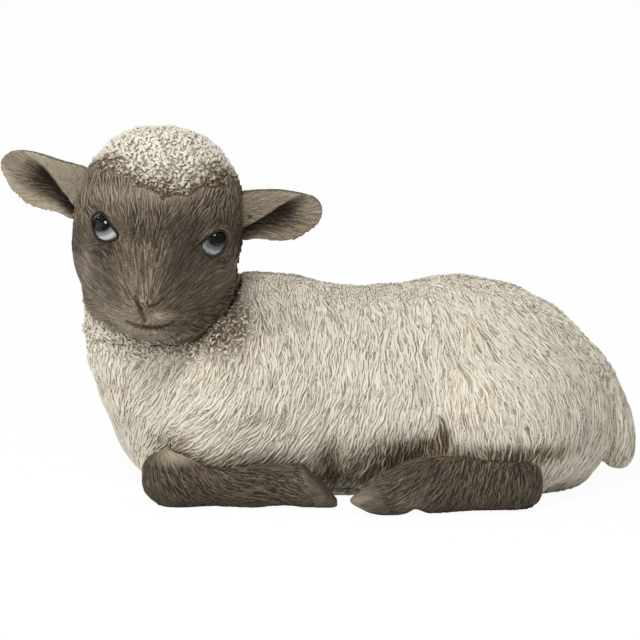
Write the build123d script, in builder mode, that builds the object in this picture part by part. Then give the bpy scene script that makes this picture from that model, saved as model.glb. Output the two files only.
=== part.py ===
from build123d import *
from math import cos, pi, radians, sin, sqrt
import os

os.makedirs("parts", exist_ok=True)

# A lying lamb, cast in resin in several hollow and solid castings that are pinned and glued together.
# X runs along the body towards the tail, Y across it with the turned face on the -Y side, Z is up.
# The spine lies in the plane Y = 0 and the figure stands on Z = 0.

# Barrel: the long body casting, without neck and bulges
barrel_front = -113.0
barrel_length = 289.0
barrel_half_width = 66.0
barrel_height = 126.0
barrel_wall = 7.0

# Neck column, from the chest up into the head
neck_x = -91.0
neck_y = -6.0
neck_half_width = 49.0
neck_bottom = 6.0
neck_top = 170.0
neck_seam = 96.0
neck_spigot_radius = 30.0
neck_spigot_wall = 5.0
neck_spigot_height = 12.0

# Shoulder and haunch bulges of the body casting, one each side
shoulder_x, shoulder_y, shoulder_z = -56.0, 26.0, 58.0
shoulder_long, shoulder_wide, shoulder_tall = 51.0, 42.0, 58.0
haunch_x, haunch_y, haunch_z = 104.0, 33.0, 48.0
haunch_long, haunch_wide, haunch_tall = 57.0, 43.0, 52.0

# Withers, filling the hollow behind the neck
withers_x, withers_z = -56.0, 92.0
withers_long, withers_wide, withers_tall = 44.0, 46.0, 36.0

# Underside: floor of the body casting, with a rebated opening, its plate and the vent bung
floor_thickness = 7.0
opening_x = 28.0
opening_length = 170.0
opening_width = 34.0
rebate_margin = 5.0
plate_thickness = 3.5
plate_clearance = 0.2
vent_radius = 7.0
bung_head_radius = 10.0
bung_head_thickness = 1.4
bung_clearance = 0.15
bung_length = 9.0

# Head: centre of the skull, the way it is turned, and its overall half sizes
skull_x, skull_y, skull_z = -95.0, -21.0, 163.0
head_yaw, head_pitch, head_roll = 3.5, 33.0, 8.5
skull_half_width = 49.0
skull_half_height = 49.0
muzzle_reach = 80.0
nape_reach = 52.0
head_wall = 6.5

# Glass eyes: a ball cut flat at the iris, and a clear dome seated on that flat
eye_side, eye_up, eye_forward = 33.0, 22.0, 31.0
eye_turn, eye_lift = 16.0, 41.0
eye_radius = 10.0
iris_depth = 7.6
cornea_radius = 8.2
eye_clearance = 0.15
eye_boss_wall = 3.5
lid_reach = 9.0

# Nostrils and mouth line
nostril_side, nostril_up, nostril_forward = 5.7, 7.4, 76.6
nostril_slant = 48.0
nostril_half_width, nostril_half_length, nostril_depth = 1.5, 3.4, 2.6
mouth_drop, mouth_forward = 6.6, 48.0
mouth_bow_side, mouth_bow_reach = 29.0, 32.0
mouth_width, mouth_depth, mouth_gap = 28.0, 1.5, 1.0

# Ears: a cupped shell on a thick root, laid along an axis that leaves the side of the head
ear_side, ear_up, ear_forward = 42.0, 3.0, -6.0
ear_rise_left, ear_rise_right = 17.0, 24.0
ear_sweep, ear_face = 2.0, 12.0
ear_length = 58.0
ear_half_width = 18.5
ear_cup = 8.5
ear_thickness = 4.2

# Main locks of the carved wool: long swellings on the flanks and chest, short curls on the crown and collar
lock_half_length, lock_half_width, lock_rise = 11.0, 4.9, 2.4
curl_half_length, curl_half_width, curl_rise = 5.5, 4.0, 1.5

# Legs, all given for the near side; the far side mirrors them
foreleg_knee_x = -105.0
foreleg_length = 115.5
foreleg_y = 56.0
foreleg_turn_in = -3.0
foreleg_radius = 14.5
hind_leg_toe_x = 17.5
hind_leg_length = 113.5
hind_leg_y = 80.0
hind_leg_turn_in = 16.0
hind_leg_radius = 15.5
cleft_width = 1.6
cleft_length = 15.0

# Tail, hanging down behind the rump
tail_root_x, tail_root_z = 138.0, 100.0
tail_tip_x, tail_tip_z = 180.7, 9.5
tail_bow = 8.0
tail_radius = 13.0

# Steel pins between the castings
leg_pin_radius = 2.0
leg_pin_length = 24.0
ear_pin_radius = 1.5
ear_pin_length = 20.0
tail_pin_length = 26.0
pin_clearance = 0.1

# Film of glue left between curved faces that meet
glue_gap = 0.3

# Shares of the barrel's length, height and half width: place, middle height, half width, half height
barrel_shares = (
    (0.000, 0.484, 0.15, 0.11),
    (0.022, 0.484, 0.48, 0.31),
    (0.072, 0.476, 0.73, 0.44),
    (0.150, 0.470, 0.87, 0.50),
    (0.268, 0.476, 0.94, 0.545),
    (0.388, 0.452, 0.93, 0.525),
    (0.500, 0.436, 0.93, 0.515),
    (0.646, 0.460, 0.98, 0.54),
    (0.766, 0.436, 1.00, 0.53),
    (0.852, 0.404, 0.91, 0.455),
    (0.921, 0.363, 0.75, 0.36),
    (0.962, 0.330, 0.55, 0.260),
    (0.992, 0.300, 0.28, 0.130),
    (1.000, 0.290, 0.10, 0.050),
)
# Shares of the neck's height and half width: height, shift in X and Y, half width in X and in Y
neck_shares = (
    (0.00, 0.40, 0.12, 0.62, 0.85),
    (0.10, 0.27, 0.12, 0.82, 0.97),
    (0.30, 0.13, 0.10, 0.95, 1.02),
    (0.55, 0.00, 0.00, 1.01, 1.00),
    (0.69, -0.05, -0.03, 0.97, 0.97),
    (0.83, -0.09, -0.06, 0.92, 0.91),
    (0.93, -0.11, -0.08, 0.84, 0.83),
    (1.00, -0.12, -0.10, 0.70, 0.70),
)
# Shares of the muzzle reach, or of the nape reach where the place is negative, then of the skull's half
# height and half width: place, top, bottom, half width
head_shares = (
    (-1.00, 0.30, -0.12, 0.22),
    (-0.94, 0.58, -0.42, 0.50),
    (-0.72, 0.90, -0.72, 0.79),
    (-0.38, 1.06, -0.88, 0.97),
    (0.00, 1.08, -0.95, 1.03),
    (0.20, 0.96, -0.94, 1.02),
    (0.38, 0.77, -0.88, 0.95),
    (0.56, 0.56, -0.78, 0.79),
    (0.73, 0.41, -0.66, 0.58),
    (0.87, 0.30, -0.56, 0.43),
    (0.96, 0.19, -0.46, 0.31),
    (1.00, 0.04, -0.34, 0.16),
)
head_fullness = 2.45
head_jowl_share = 0.07
# Shares of the ear's length, half width, cup and thickness: place, half width, cup, thickness
ear_shares = (
    (0.00, 0.58, 0.55, 2.60),
    (0.16, 0.62, 0.75, 2.10),
    (0.34, 0.86, 1.00, 1.35),
    (0.55, 1.00, 1.00, 1.00),
    (0.76, 0.93, 0.72, 0.90),
    (0.91, 0.66, 0.36, 0.80),
    (0.98, 0.34, 0.12, 0.62),
    (1.00, 0.14, 0.03, 0.40),
)
# Shares of the foreleg's length and radius: place from the knee, lateral shift, middle height, half
# width, half height
foreleg_shares = (
    (0.000, 0.00, 1.18, 0.28, 0.34),
    (0.030, 0.00, 1.20, 0.70, 0.82),
    (0.115, 0.00, 1.14, 1.02, 1.18),
    (0.270, 0.10, 0.98, 0.97, 1.04),
    (0.480, 0.35, 0.88, 0.87, 0.93),
    (0.680, 0.70, 0.86, 0.82, 0.90),
    (0.800, 0.92, 0.87, 0.86, 0.93),
    (0.880, 1.00, 0.72, 0.86, 0.76),
    (0.945, 1.00, 0.42, 0.72, 0.45),
    (0.985, 1.00, 0.22, 0.44, 0.24),
    (1.000, 1.00, 0.15, 0.16, 0.12),
)
# The same for the hind leg, from the toe to the hock
hind_leg_shares = (
    (0.000, 0.00, 0.58, 0.16, 0.13),
    (0.015, 0.00, 0.59, 0.40, 0.26),
    (0.070, 0.04, 0.63, 0.64, 0.48),
    (0.140, 0.10, 0.72, 0.80, 0.72),
    (0.230, 0.18, 0.88, 0.87, 0.94),
    (0.340, 0.30, 1.00, 0.91, 1.08),
    (0.500, 0.48, 0.98, 0.93, 1.05),
    (0.700, 0.70, 0.95, 0.93, 1.02),
    (0.860, 0.88, 0.98, 0.90, 1.06),
    (0.955, 0.97, 1.02, 0.70, 0.92),
    (1.000, 1.00, 1.06, 0.28, 0.38),
)
# Shares along the tail, and of its radius: place, half width across, half depth
tail_shares = (
    (0.00, 0.60, 0.45),
    (0.22, 0.94, 0.74),
    (0.48, 1.08, 0.95),
    (0.70, 1.06, 0.95),
    (0.87, 0.88, 0.80),
    (0.97, 0.50, 0.46),
    (1.00, 0.18, 0.16),
)
# Rows of locks down each flank: angle above level, seen from the barrel's middle line, then the shares of the
# barrel's length where the row starts and ends, and the number of locks
flank_lock_shares = (
    (0.0, 0.10, 0.93, 12),
    (21.0, 0.12, 0.90, 11),
    (43.0, 0.34, 0.85, 8),
    (66.0, 0.38, 0.79, 6),
)
lock_middle_share = 0.45
# Lean of the flank locks: share of the barrel's length, and run towards the tail for each step down
lock_lean_shares = ((0.0, -0.70), (0.30, -0.35), (0.45, 0.00), (0.65, 0.05), (0.75, 0.50), (0.90, 0.30), (1.0, 0.00))
# Rows of locks round the chest, as shares of the seam's height, with the angles from straight ahead
chest_lock_shares = (
    (0.52, (-50.0, -25.0, 0.0, 25.0, 50.0)),
    (0.78, (-62.0, -37.0, -12.0, 13.0, 38.0, 63.0)),
)
# Rows of curls over the crown: angle from the head's up direction, the angle from straight back that the row
# reaches on each side, and the number of curls
crown_curl_rows = (
    (0.0, 0.0, 1),
    (22.0, 130.0, 6),
    (44.0, 88.0, 7),
    (66.0, 62.0, 6),
    (88.0, 42.0, 5),
)
# Curls round the collar's free side, as a share of the seam's height, with the angles from straight ahead
collar_curl_share = 1.17
collar_curl_angles = (-60.0, -30.0, 0.0, 30.0, 60.0)
# Places of the leg pins along each leg, as shares of its length, and their height as a share of its radius
foreleg_pin_shares = (0.22, 0.56)
hind_leg_pin_shares = (0.52, 0.82)
pin_height_share = 0.85
section_points = 16


def placed_plane(base, across, up, along):
    """A plane like base, moved by local distances across, up and along it."""
    return Plane(origin=base.from_local_coords((across, up, along)), x_dir=base.x_dir, z_dir=base.z_dir)


def full_section(half_width, half_height, fullness, jowl):
    """Points round an oval that is fuller than an ellipse and wider below by the jowl share."""
    points = []
    for step in range(section_points):
        angle = 2 * pi * step / section_points
        side, rise = cos(angle), sin(angle)
        across = abs(side) ** (2 / fullness) * (1 if side > 0 else -1) * (1 - jowl * rise)
        up = abs(rise) ** (2 / fullness) * (1 if rise > 0 else -1)
        points.append((half_width * across, half_height * up))
    return points


def ellipse_loft(stations):
    """A solid lofted through ellipses: each station is a plane and two half axes."""
    with BuildPart() as form:
        for plane, half_wide, half_high in stations:
            with BuildSketch(plane):
                Ellipse(half_wide, half_high)
        loft()
    return form.part


def ground_cut(form):
    """The form with all that lies under the surface it stands on taken off."""
    with BuildPart() as standing:
        add(form)
        split(bisect_by=Plane.XY, keep=Keep.TOP)
    return standing.part


# Barrel, outside and inside
def barrel_form(grow, shares):
    """The barrel lofted through its shares, grown all round, or drawn in where grow is negative."""
    stations = []
    for place, middle, wide, high in shares:
        x = barrel_front + place * barrel_length + (2 * place - 1) * grow
        plane = Plane(origin=(x, 0, middle * barrel_height), x_dir=(0, 1, 0), z_dir=(1, 0, 0))
        stations.append((plane, wide * barrel_half_width + grow, high * barrel_height + grow))
    return ellipse_loft(stations)


def neck_form(grow, kept):
    """The neck column from the chest into the skull, kept above or below the seam."""
    stations = []
    for place, shift_x, shift_y, wide, deep in neck_shares:
        centre = (
            neck_x + shift_x * neck_half_width,
            neck_y + shift_y * neck_half_width,
            neck_bottom + place * (neck_top - neck_bottom),
        )
        stations.append((Plane(origin=centre), wide * neck_half_width + grow, deep * neck_half_width + grow))
    return split(ellipse_loft(stations), bisect_by=seam_plane, keep=kept, mode=Mode.PRIVATE)


def bulge(grow, centre, half_sizes):
    """An ellipsoid for the withers, a shoulder or a haunch."""
    grown = tuple(size + grow for size in half_sizes)
    return Location(centre) * scale(Sphere(1, mode=Mode.PRIVATE), by=grown, mode=Mode.PRIVATE)


def torso_outside(grow):
    """The body's outside, without the neck above the seam."""
    with BuildPart() as form:
        add(barrel_form(grow, barrel_shares))
        add(bulge(grow, (withers_x, 0, withers_z), (withers_long, withers_wide, withers_tall)))
        for side in (-1, 1):
            centre = (shoulder_x, side * shoulder_y, shoulder_z)
            add(bulge(grow, centre, (shoulder_long, shoulder_wide, shoulder_tall)))
            centre = (haunch_x, side * haunch_y, haunch_z)
            add(bulge(grow, centre, (haunch_long, haunch_wide, haunch_tall)))
        add(neck_form(grow, Keep.BOTTOM))
        split(bisect_by=Plane.XY, keep=Keep.TOP)
    return form.part


seam_plane = Plane(origin=(neck_x, neck_y, neck_seam))
torso_round = torso_outside(glue_gap)

# Skull and muzzle, with the upper neck, as the outside of the head casting
yaw, pitch, roll = radians(head_yaw), radians(head_pitch), radians(head_roll)
level_side = Vector(cos(yaw), -sin(yaw), 0)
forward = Vector(-sin(yaw) * cos(pitch), -cos(yaw) * cos(pitch), -sin(pitch))
level_up = forward.cross(level_side)
side_way = level_side * cos(roll) - level_up * sin(roll)
head_plane = Plane(origin=(skull_x, skull_y, skull_z), x_dir=side_way, z_dir=forward)


def head_form(grow, shares):
    """The skull and muzzle in the turned head's own frame, grown all round or drawn in."""
    with BuildPart() as form:
        for place, top, bottom, wide in shares:
            along = place * ((muzzle_reach if place > 0 else nape_reach) + grow)
            middle = (top + bottom) / 2 * skull_half_height
            half_high = (top - bottom) / 2 * skull_half_height + grow
            half_wide = wide * skull_half_width + grow
            with BuildSketch(placed_plane(head_plane, 0, middle, along)):
                with BuildLine():
                    Spline(*full_section(half_wide, half_high, head_fullness, head_jowl_share), periodic=True)
                make_face()
        loft()
    return form.part


def head_outside(grow):
    """The head's outside, with the neck above the seam."""
    with BuildPart() as form:
        add(head_form(grow, head_shares))
        add(neck_form(grow, Keep.TOP))
    return form.part


head_round = head_outside(glue_gap)


# Eyes: each has its own plane, whose Z looks out of the head
def eye_plane(side):
    """The plane of one eye, side -1 or 1 across the head."""
    turn, lift = radians(eye_turn), radians(eye_lift)
    gaze = (
        head_plane.x_dir * (side * sin(turn) * cos(lift))
        + head_plane.y_dir * sin(lift)
        + head_plane.z_dir * (cos(turn) * cos(lift))
    )
    centre = head_plane.from_local_coords((side * eye_side, eye_up, eye_forward))
    return Plane(origin=centre, x_dir=head_plane.x_dir.cross(gaze), z_dir=gaze)


iris_radius = sqrt(eye_radius**2 - iris_depth**2)
dome_drop = sqrt(cornea_radius**2 - iris_radius**2)


def eye_ball(side):
    """The glass ball, cut flat where the iris is painted."""
    plane = eye_plane(side)
    with BuildPart() as ball:
        with Locations(plane.location):
            Sphere(eye_radius)
        split(bisect_by=plane.offset(iris_depth), keep=Keep.BOTTOM)
    return ball.part


def eye_dome(side):
    """The clear dome on the ball's flat."""
    plane = eye_plane(side)
    with BuildPart() as dome:
        with Locations(plane.offset(iris_depth - dome_drop).location):
            Sphere(cornea_radius)
        split(bisect_by=plane.offset(iris_depth), keep=Keep.TOP)
    return dome.part


def eye_pocket(side):
    """The space that one eye takes in the head, open to the front."""
    plane = eye_plane(side)
    mouth = iris_radius + eye_clearance
    with BuildPart() as pocket:
        with Locations(plane.location):
            Sphere(eye_radius + eye_clearance)
        with BuildSketch(plane):
            Circle(mouth)
        extrude(amount=eye_radius + lid_reach)
    return pocket.part


# Nostrils and mouth, cut into the end of the muzzle
with BuildPart() as muzzle_cuts:
    for side in (-1, 1):
        turned = Location((side * nostril_side, nostril_up, nostril_forward), (0, 0, -side * nostril_slant))
        dimple = scale(
            Sphere(1, mode=Mode.PRIVATE),
            by=(nostril_half_width, nostril_half_length, nostril_depth),
            mode=Mode.PRIVATE,
        )
        add(head_plane.location * turned * dimple)
    mouth_plane = Plane(
        origin=head_plane.from_local_coords((0, -mouth_drop, mouth_forward)),
        x_dir=head_plane.x_dir,
        z_dir=head_plane.y_dir,
    )
    with BuildSketch(mouth_plane):
        with Locations((0, -mouth_bow_reach)):
            Rectangle(mouth_width, mouth_bow_reach)
        Ellipse(mouth_bow_side - mouth_depth, mouth_bow_reach - mouth_depth, mode=Mode.SUBTRACT)
    extrude(amount=mouth_gap / 2, both=True)


# Ears: each has a plane at its root, whose Z runs out along the ear and whose Y faces forward
def ear_plane(side):
    """The plane of one ear's root, side -1 or 1 across the head."""
    rise = radians(ear_rise_left if side > 0 else ear_rise_right)
    sweep, face = radians(ear_sweep), radians(ear_face)
    along = (
        head_plane.x_dir * (side * cos(rise) * cos(sweep))
        + head_plane.y_dir * sin(rise)
        - head_plane.z_dir * (cos(rise) * sin(sweep))
    )
    facing = head_plane.z_dir * cos(face) + head_plane.y_dir * sin(face)
    across = facing.cross(along)
    root = head_plane.from_local_coords((side * ear_side, ear_up, ear_forward))
    return Plane(origin=root, x_dir=across, z_dir=along)


def ear_form(side):
    """The cupped ear, lofted through crescents."""
    root = ear_plane(side)
    with BuildPart() as form:
        for place, wide, cup, thick in ear_shares:
            half = wide * ear_half_width
            deep = cup * ear_cup
            back = deep + thick * ear_thickness
            with BuildSketch(placed_plane(root, 0, 0, place * ear_length)):
                with BuildLine():
                    ThreePointArc((-half, 0), (0, -back), (half, 0))
                    ThreePointArc((half, 0), (0, -deep), (-half, 0))
                make_face()
        loft()
    return form.part


def ear_pin_form(side, radius):
    """A pin of the given radius across the joint between one ear and the head."""
    root = ear_plane(side)
    middle = placed_plane(root, 0, -(ear_cup * ear_shares[0][2] + ear_thickness), ear_pin_length / 8)
    with BuildPart() as pin:
        with BuildSketch(middle):
            Circle(radius)
        extrude(amount=ear_pin_length / 2, both=True)
    return pin.part


# Legs: made on the near side, mirrored to the far side
def leg_form(shares, start_x, length, near_y, turn_in, radius, toe_x, toe_sign):
    """One near-side leg lofted along X, cut flat on the ground and cloven at the toe."""
    stations = []
    for place, drift, middle, wide, high in shares:
        centre = (start_x + place * length, -(near_y - turn_in * drift), middle * radius)
        plane = Plane(origin=centre, x_dir=(0, 1, 0), z_dir=(1, 0, 0))
        stations.append((plane, wide * radius, high * radius))
    toe_y = stations[0][0].origin.Y if toe_sign < 0 else stations[-1][0].origin.Y
    with BuildPart() as leg:
        add(ground_cut(ellipse_loft(stations)))
        with BuildSketch(Plane(origin=(toe_x, toe_y, 0))):
            with Locations((-toe_sign * cleft_length / 2, 0)):
                Rectangle(cleft_length + 2 * cleft_width, cleft_width)
        extrude(amount=2 * radius, mode=Mode.SUBTRACT)
    return leg.part


def far_side(form):
    """The same form mirrored across the spine."""
    return mirror(form, about=Plane.XZ, mode=Mode.PRIVATE)


foreleg_near = leg_form(
    foreleg_shares,
    foreleg_knee_x,
    foreleg_length,
    foreleg_y,
    foreleg_turn_in,
    foreleg_radius,
    foreleg_knee_x + foreleg_length,
    1,
)
hind_leg_near = leg_form(
    hind_leg_shares,
    hind_leg_toe_x,
    hind_leg_length,
    hind_leg_y,
    hind_leg_turn_in,
    hind_leg_radius,
    hind_leg_toe_x,
    -1,
)


def leg_pin_places():
    """The middle of each near-side leg pin."""
    places = []
    for share in foreleg_pin_shares:
        y = foreleg_y - leg_pin_length / 8
        places.append((foreleg_knee_x + share * foreleg_length, -y, pin_height_share * foreleg_radius))
    for share in hind_leg_pin_shares:
        y = hind_leg_y - hind_leg_turn_in * share - leg_pin_length / 4
        places.append((hind_leg_toe_x + share * hind_leg_length, -y, pin_height_share * hind_leg_radius))
    return places


def leg_pin_forms(radius):
    """All the leg pins, near and far, at the given radius."""
    with BuildPart() as pins:
        for x, y, z in leg_pin_places():
            for side in (1, -1):
                with BuildSketch(Plane(origin=(x, side * y, z), x_dir=(1, 0, 0), z_dir=(0, 1, 0))):
                    Circle(radius)
                extrude(amount=leg_pin_length / 2, both=True)
    return pins.part


# Tail: its centre line bows outwards between root and tip
def tail_form():
    """The tail lofted along its bowed line."""
    run_x, run_z = tail_tip_x - tail_root_x, tail_tip_z - tail_root_z
    run = sqrt(run_x**2 + run_z**2)
    stations = []
    for place, wide, deep in tail_shares:
        bow = tail_bow * sin(pi * place)
        slope = tail_bow * pi * cos(pi * place)
        centre = (
            tail_root_x + run_x * place - bow * run_z / run,
            0,
            tail_root_z + run_z * place + bow * run_x / run,
        )
        heading = Vector(run_x - slope * run_z / run, 0, run_z + slope * run_x / run)
        stations.append((Plane(origin=centre, x_dir=(0, 1, 0), z_dir=heading), wide * tail_radius, deep * tail_radius))
    return ellipse_loft(stations)


def tail_pin_form(radius):
    """A pin across the joint between tail and rump."""
    middle = ((tail_root_x + tail_tip_x) / 2, 0, (tail_root_z + tail_tip_z) / 2)
    with BuildPart() as pin:
        with BuildSketch(Plane(origin=middle, x_dir=(0, 1, 0), z_dir=(1, 0, 0))):
            Circle(radius)
        extrude(amount=tail_pin_length / 2, both=True)
    return pin.part


# Carved wool: each lock is a long swelling, sunk into the casting where an axis leaves it
def swelling_form(outside, axis, heading, half_length, half_width, rise):
    """One swelling that stands out of a casting by the given rise and lies along the heading."""
    spot, normal = outside.find_intersection_points(axis)[-1]
    seat = Plane(origin=spot - normal * (half_width - rise), x_dir=heading - normal * heading.dot(normal), z_dir=normal)
    return seat.location * scale(
        Sphere(1, mode=Mode.PRIVATE), by=(half_length, half_width, half_width), mode=Mode.PRIVATE
    )


def lean_at(share):
    """Run towards the tail for each step down, at a share of the barrel's length."""
    for (start, lean), (end, next_lean) in zip(lock_lean_shares, lock_lean_shares[1:]):
        if share <= end:
            return lean + (next_lean - lean) * (share - start) / (end - start)
    return lock_lean_shares[-1][1]


def body_locks(outside):
    """The main locks of the body casting, in rows down both flanks and round the chest."""
    locks = []
    for angle, first, last, count in flank_lock_shares:
        for step in range(count):
            share = first + (last - first) * step / (count - 1)
            start = (barrel_front + share * barrel_length, 0, lock_middle_share * barrel_height)
            heading = Vector(lean_at(share), 0, -1)
            for side in (-1, 1):
                axis = Axis(start, (0, side * cos(radians(angle)), sin(radians(angle))))
                locks.append(swelling_form(outside, axis, heading, lock_half_length, lock_half_width, lock_rise))
    for height, angles in chest_lock_shares:
        start = (neck_x, neck_y, height * neck_seam)
        for angle in angles:
            axis = Axis(start, (-cos(radians(angle)), -sin(radians(angle)), 0))
            heading = Vector(0, 0, -1)
            locks.append(swelling_form(outside, axis, heading, lock_half_length, lock_half_width, lock_rise))
    return locks


def head_curls(outside):
    """The main curls of the head casting, over the crown and round the collar."""
    curls = []
    for tilt, reach, count in crown_curl_rows:
        for step in range(count):
            turn = radians(-reach + 2 * reach * step / max(count - 1, 1))
            way = (
                head_plane.y_dir * cos(radians(tilt))
                + head_plane.x_dir * (sin(radians(tilt)) * sin(turn))
                - head_plane.z_dir * (sin(radians(tilt)) * cos(turn))
            )
            axis = Axis(head_plane.origin, way)
            heading = head_plane.x_dir * cos(turn) + head_plane.z_dir * sin(turn)
            curls.append(swelling_form(outside, axis, heading, curl_half_length, curl_half_width, curl_rise))
    for angle in collar_curl_angles:
        way = (-cos(radians(angle)), -sin(radians(angle)), 0)
        axis = Axis((neck_x, neck_y, collar_curl_share * neck_seam), way)
        curls.append(swelling_form(outside, axis, Vector(0, 0, -1), curl_half_length, curl_half_width, curl_rise))
    return curls


leg_pin_holes = leg_pin_forms(leg_pin_radius + pin_clearance)
tail_pin_hole = tail_pin_form(leg_pin_radius + pin_clearance)
ear_pin_holes = {side: ear_pin_form(side, ear_pin_radius + pin_clearance) for side in (-1, 1)}

# Body casting: a hollow shell with a floor, a rebated opening below and a spigot for the head above
with BuildPart() as body_hollow:
    add(barrel_form(-barrel_wall, barrel_shares[1:-2]))
    split(bisect_by=Plane.XY.offset(floor_thickness), keep=Keep.TOP)

torso_plain = torso_outside(0)
head_plain = head_outside(0)

with BuildPart() as torso_casting:
    add(torso_plain)
    add(body_locks(torso_plain))
    add(head_round, mode=Mode.SUBTRACT)
    add(body_hollow.part, mode=Mode.SUBTRACT)
    with BuildSketch(seam_plane):
        Circle(neck_spigot_radius)
    extrude(amount=neck_spigot_height)
    with BuildSketch(seam_plane.offset(neck_spigot_height)):
        Circle(neck_spigot_radius - neck_spigot_wall)
    extrude(amount=-(neck_seam + neck_spigot_height - barrel_height / 2), mode=Mode.SUBTRACT)
    with BuildSketch(Plane.XY):
        with Locations((opening_x, 0)):
            SlotOverall(opening_length, opening_width)
    extrude(amount=floor_thickness, mode=Mode.SUBTRACT)
    with BuildSketch(Plane.XY):
        with Locations((opening_x, 0)):
            SlotOverall(opening_length + 2 * rebate_margin, opening_width + 2 * rebate_margin)
    extrude(amount=plate_thickness + plate_clearance, mode=Mode.SUBTRACT)
    add(leg_pin_holes, mode=Mode.SUBTRACT)
    add(tail_pin_hole, mode=Mode.SUBTRACT)
torso_casting.part.label = "torso_casting"

# Plate that closes the opening, with the vent hole and its countersunk seat for the bung
with BuildPart() as base_plate:
    with BuildSketch(Plane.XY):
        with Locations((opening_x, 0)):
            SlotOverall(
                opening_length + 2 * (rebate_margin - plate_clearance),
                opening_width + 2 * (rebate_margin - plate_clearance),
            )
    extrude(amount=plate_thickness)
    with BuildSketch(Plane.XY):
        with Locations((opening_x, 0)):
            Circle(vent_radius)
    extrude(amount=plate_thickness, mode=Mode.SUBTRACT)
    with BuildSketch(Plane.XY):
        with Locations((opening_x, 0)):
            Circle(bung_head_radius + bung_clearance)
    extrude(amount=bung_head_thickness + bung_clearance, mode=Mode.SUBTRACT)
base_plate.part.label = "base_plate"

# Soft bung in the vent hole, its head sunk into the plate
with BuildPart() as vent_bung:
    with BuildSketch(Plane.XY):
        with Locations((opening_x, 0)):
            Circle(bung_head_radius)
    extrude(amount=bung_head_thickness)
    with BuildSketch(Plane.XY.offset(bung_head_thickness)):
        with Locations((opening_x, 0)):
            Circle(vent_radius - bung_clearance)
    extrude(amount=bung_length - bung_head_thickness)
vent_bung.part.label = "vent_bung"

# Head casting: hollow skull, open at the neck, with pockets for the eyes and holes for the ear pins
with BuildPart() as head_hollow:
    add(head_form(-head_wall, head_shares[1:-3]))
    with BuildSketch(seam_plane):
        Circle(neck_spigot_radius + plate_clearance)
    extrude(amount=skull_z - neck_seam)
    for side in (-1, 1):
        with Locations(eye_plane(side).location):
            Sphere(eye_radius + eye_clearance + eye_boss_wall, mode=Mode.SUBTRACT)

with BuildPart() as head_casting:
    add(head_plain)
    add(head_curls(head_plain))
    add(head_hollow.part, mode=Mode.SUBTRACT)
    for side in (-1, 1):
        add(eye_pocket(side), mode=Mode.SUBTRACT)
    add(muzzle_cuts.part, mode=Mode.SUBTRACT)
    for hole in ear_pin_holes.values():
        add(hole, mode=Mode.SUBTRACT)
head_casting.part.label = "head_casting"

sides = {"left": 1, "right": -1}
finished = {
    "torso_casting": torso_casting.part,
    "base_plate": base_plate.part,
    "vent_bung": vent_bung.part,
    "head_casting": head_casting.part,
}

# The lamb's own left side is the near one, at +X across the turned face and -Y along the body
for side_name, across in sides.items():
    with BuildPart() as ear:
        add(ear_form(across))
        add(head_round, mode=Mode.SUBTRACT)
        add(ear_pin_holes[across], mode=Mode.SUBTRACT)
    finished["ear_" + side_name] = ear.part
    finished["eye_ball_" + side_name] = eye_ball(across)
    finished["eye_dome_" + side_name] = eye_dome(across)

for side_name, across in sides.items():
    for leg_name, near_form in (("foreleg_", foreleg_near), ("hind_leg_", hind_leg_near)):
        with BuildPart() as leg:
            add(near_form if across > 0 else far_side(near_form))
            add(torso_round, mode=Mode.SUBTRACT)
            add(leg_pin_holes, mode=Mode.SUBTRACT)
        finished[leg_name + side_name] = leg.part

with BuildPart() as tail:
    add(tail_form())
    add(torso_round, mode=Mode.SUBTRACT)
    add(tail_pin_hole, mode=Mode.SUBTRACT)
finished["tail"] = tail.part

with BuildPart() as ear_pins:
    for side in (-1, 1):
        add(ear_pin_form(side, ear_pin_radius))
finished["ear_pins"] = ear_pins.part
finished["leg_pins"] = leg_pin_forms(leg_pin_radius)
finished["tail_pin"] = tail_pin_form(leg_pin_radius)

for node, part in finished.items():
    part.label = node
    export_step(part, "parts/" + node + ".step")
    print(node, len(part.solids()), "solids", round(part.volume / 1000, 1), "cc", part.bounding_box().size)
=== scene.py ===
import math

import bmesh
import bpy
import numpy as np
from mathutils import Matrix, Vector
from mathutils.bvhtree import BVHTree


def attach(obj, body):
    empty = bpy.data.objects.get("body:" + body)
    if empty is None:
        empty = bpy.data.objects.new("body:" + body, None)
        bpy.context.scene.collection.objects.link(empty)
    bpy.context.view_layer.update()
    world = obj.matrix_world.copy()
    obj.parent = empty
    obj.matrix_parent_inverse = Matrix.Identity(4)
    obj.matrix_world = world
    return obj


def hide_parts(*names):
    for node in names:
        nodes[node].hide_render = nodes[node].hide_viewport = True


# A lying lamb in painted resin: carved skins over the castings, with the locks of wool and hair laid on them.
# X runs towards the tail, the turned face looks to -Y, Z is up. Lengths in the settings are millimetres.
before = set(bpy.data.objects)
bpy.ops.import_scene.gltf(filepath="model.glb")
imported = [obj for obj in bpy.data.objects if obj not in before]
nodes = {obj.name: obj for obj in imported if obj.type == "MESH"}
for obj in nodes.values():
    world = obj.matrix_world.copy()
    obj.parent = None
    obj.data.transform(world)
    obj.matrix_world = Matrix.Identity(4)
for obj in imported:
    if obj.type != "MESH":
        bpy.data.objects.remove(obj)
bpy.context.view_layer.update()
mm = 0.001
tiny = 1e-9  # what a length is divided by at least


# wiring of the paints
def paint(red, green, blue):
    # a colour given from 0 to 255 as it looks, in the linear values that shaders take
    steps = [value / 255 for value in (red, green, blue)]
    return tuple(s / 12.92 if s <= 0.04045 else ((s + 0.055) / 1.055) ** 2.4 for s in steps) + (1.0,)


white = (1, 1, 1, 1)


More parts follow.
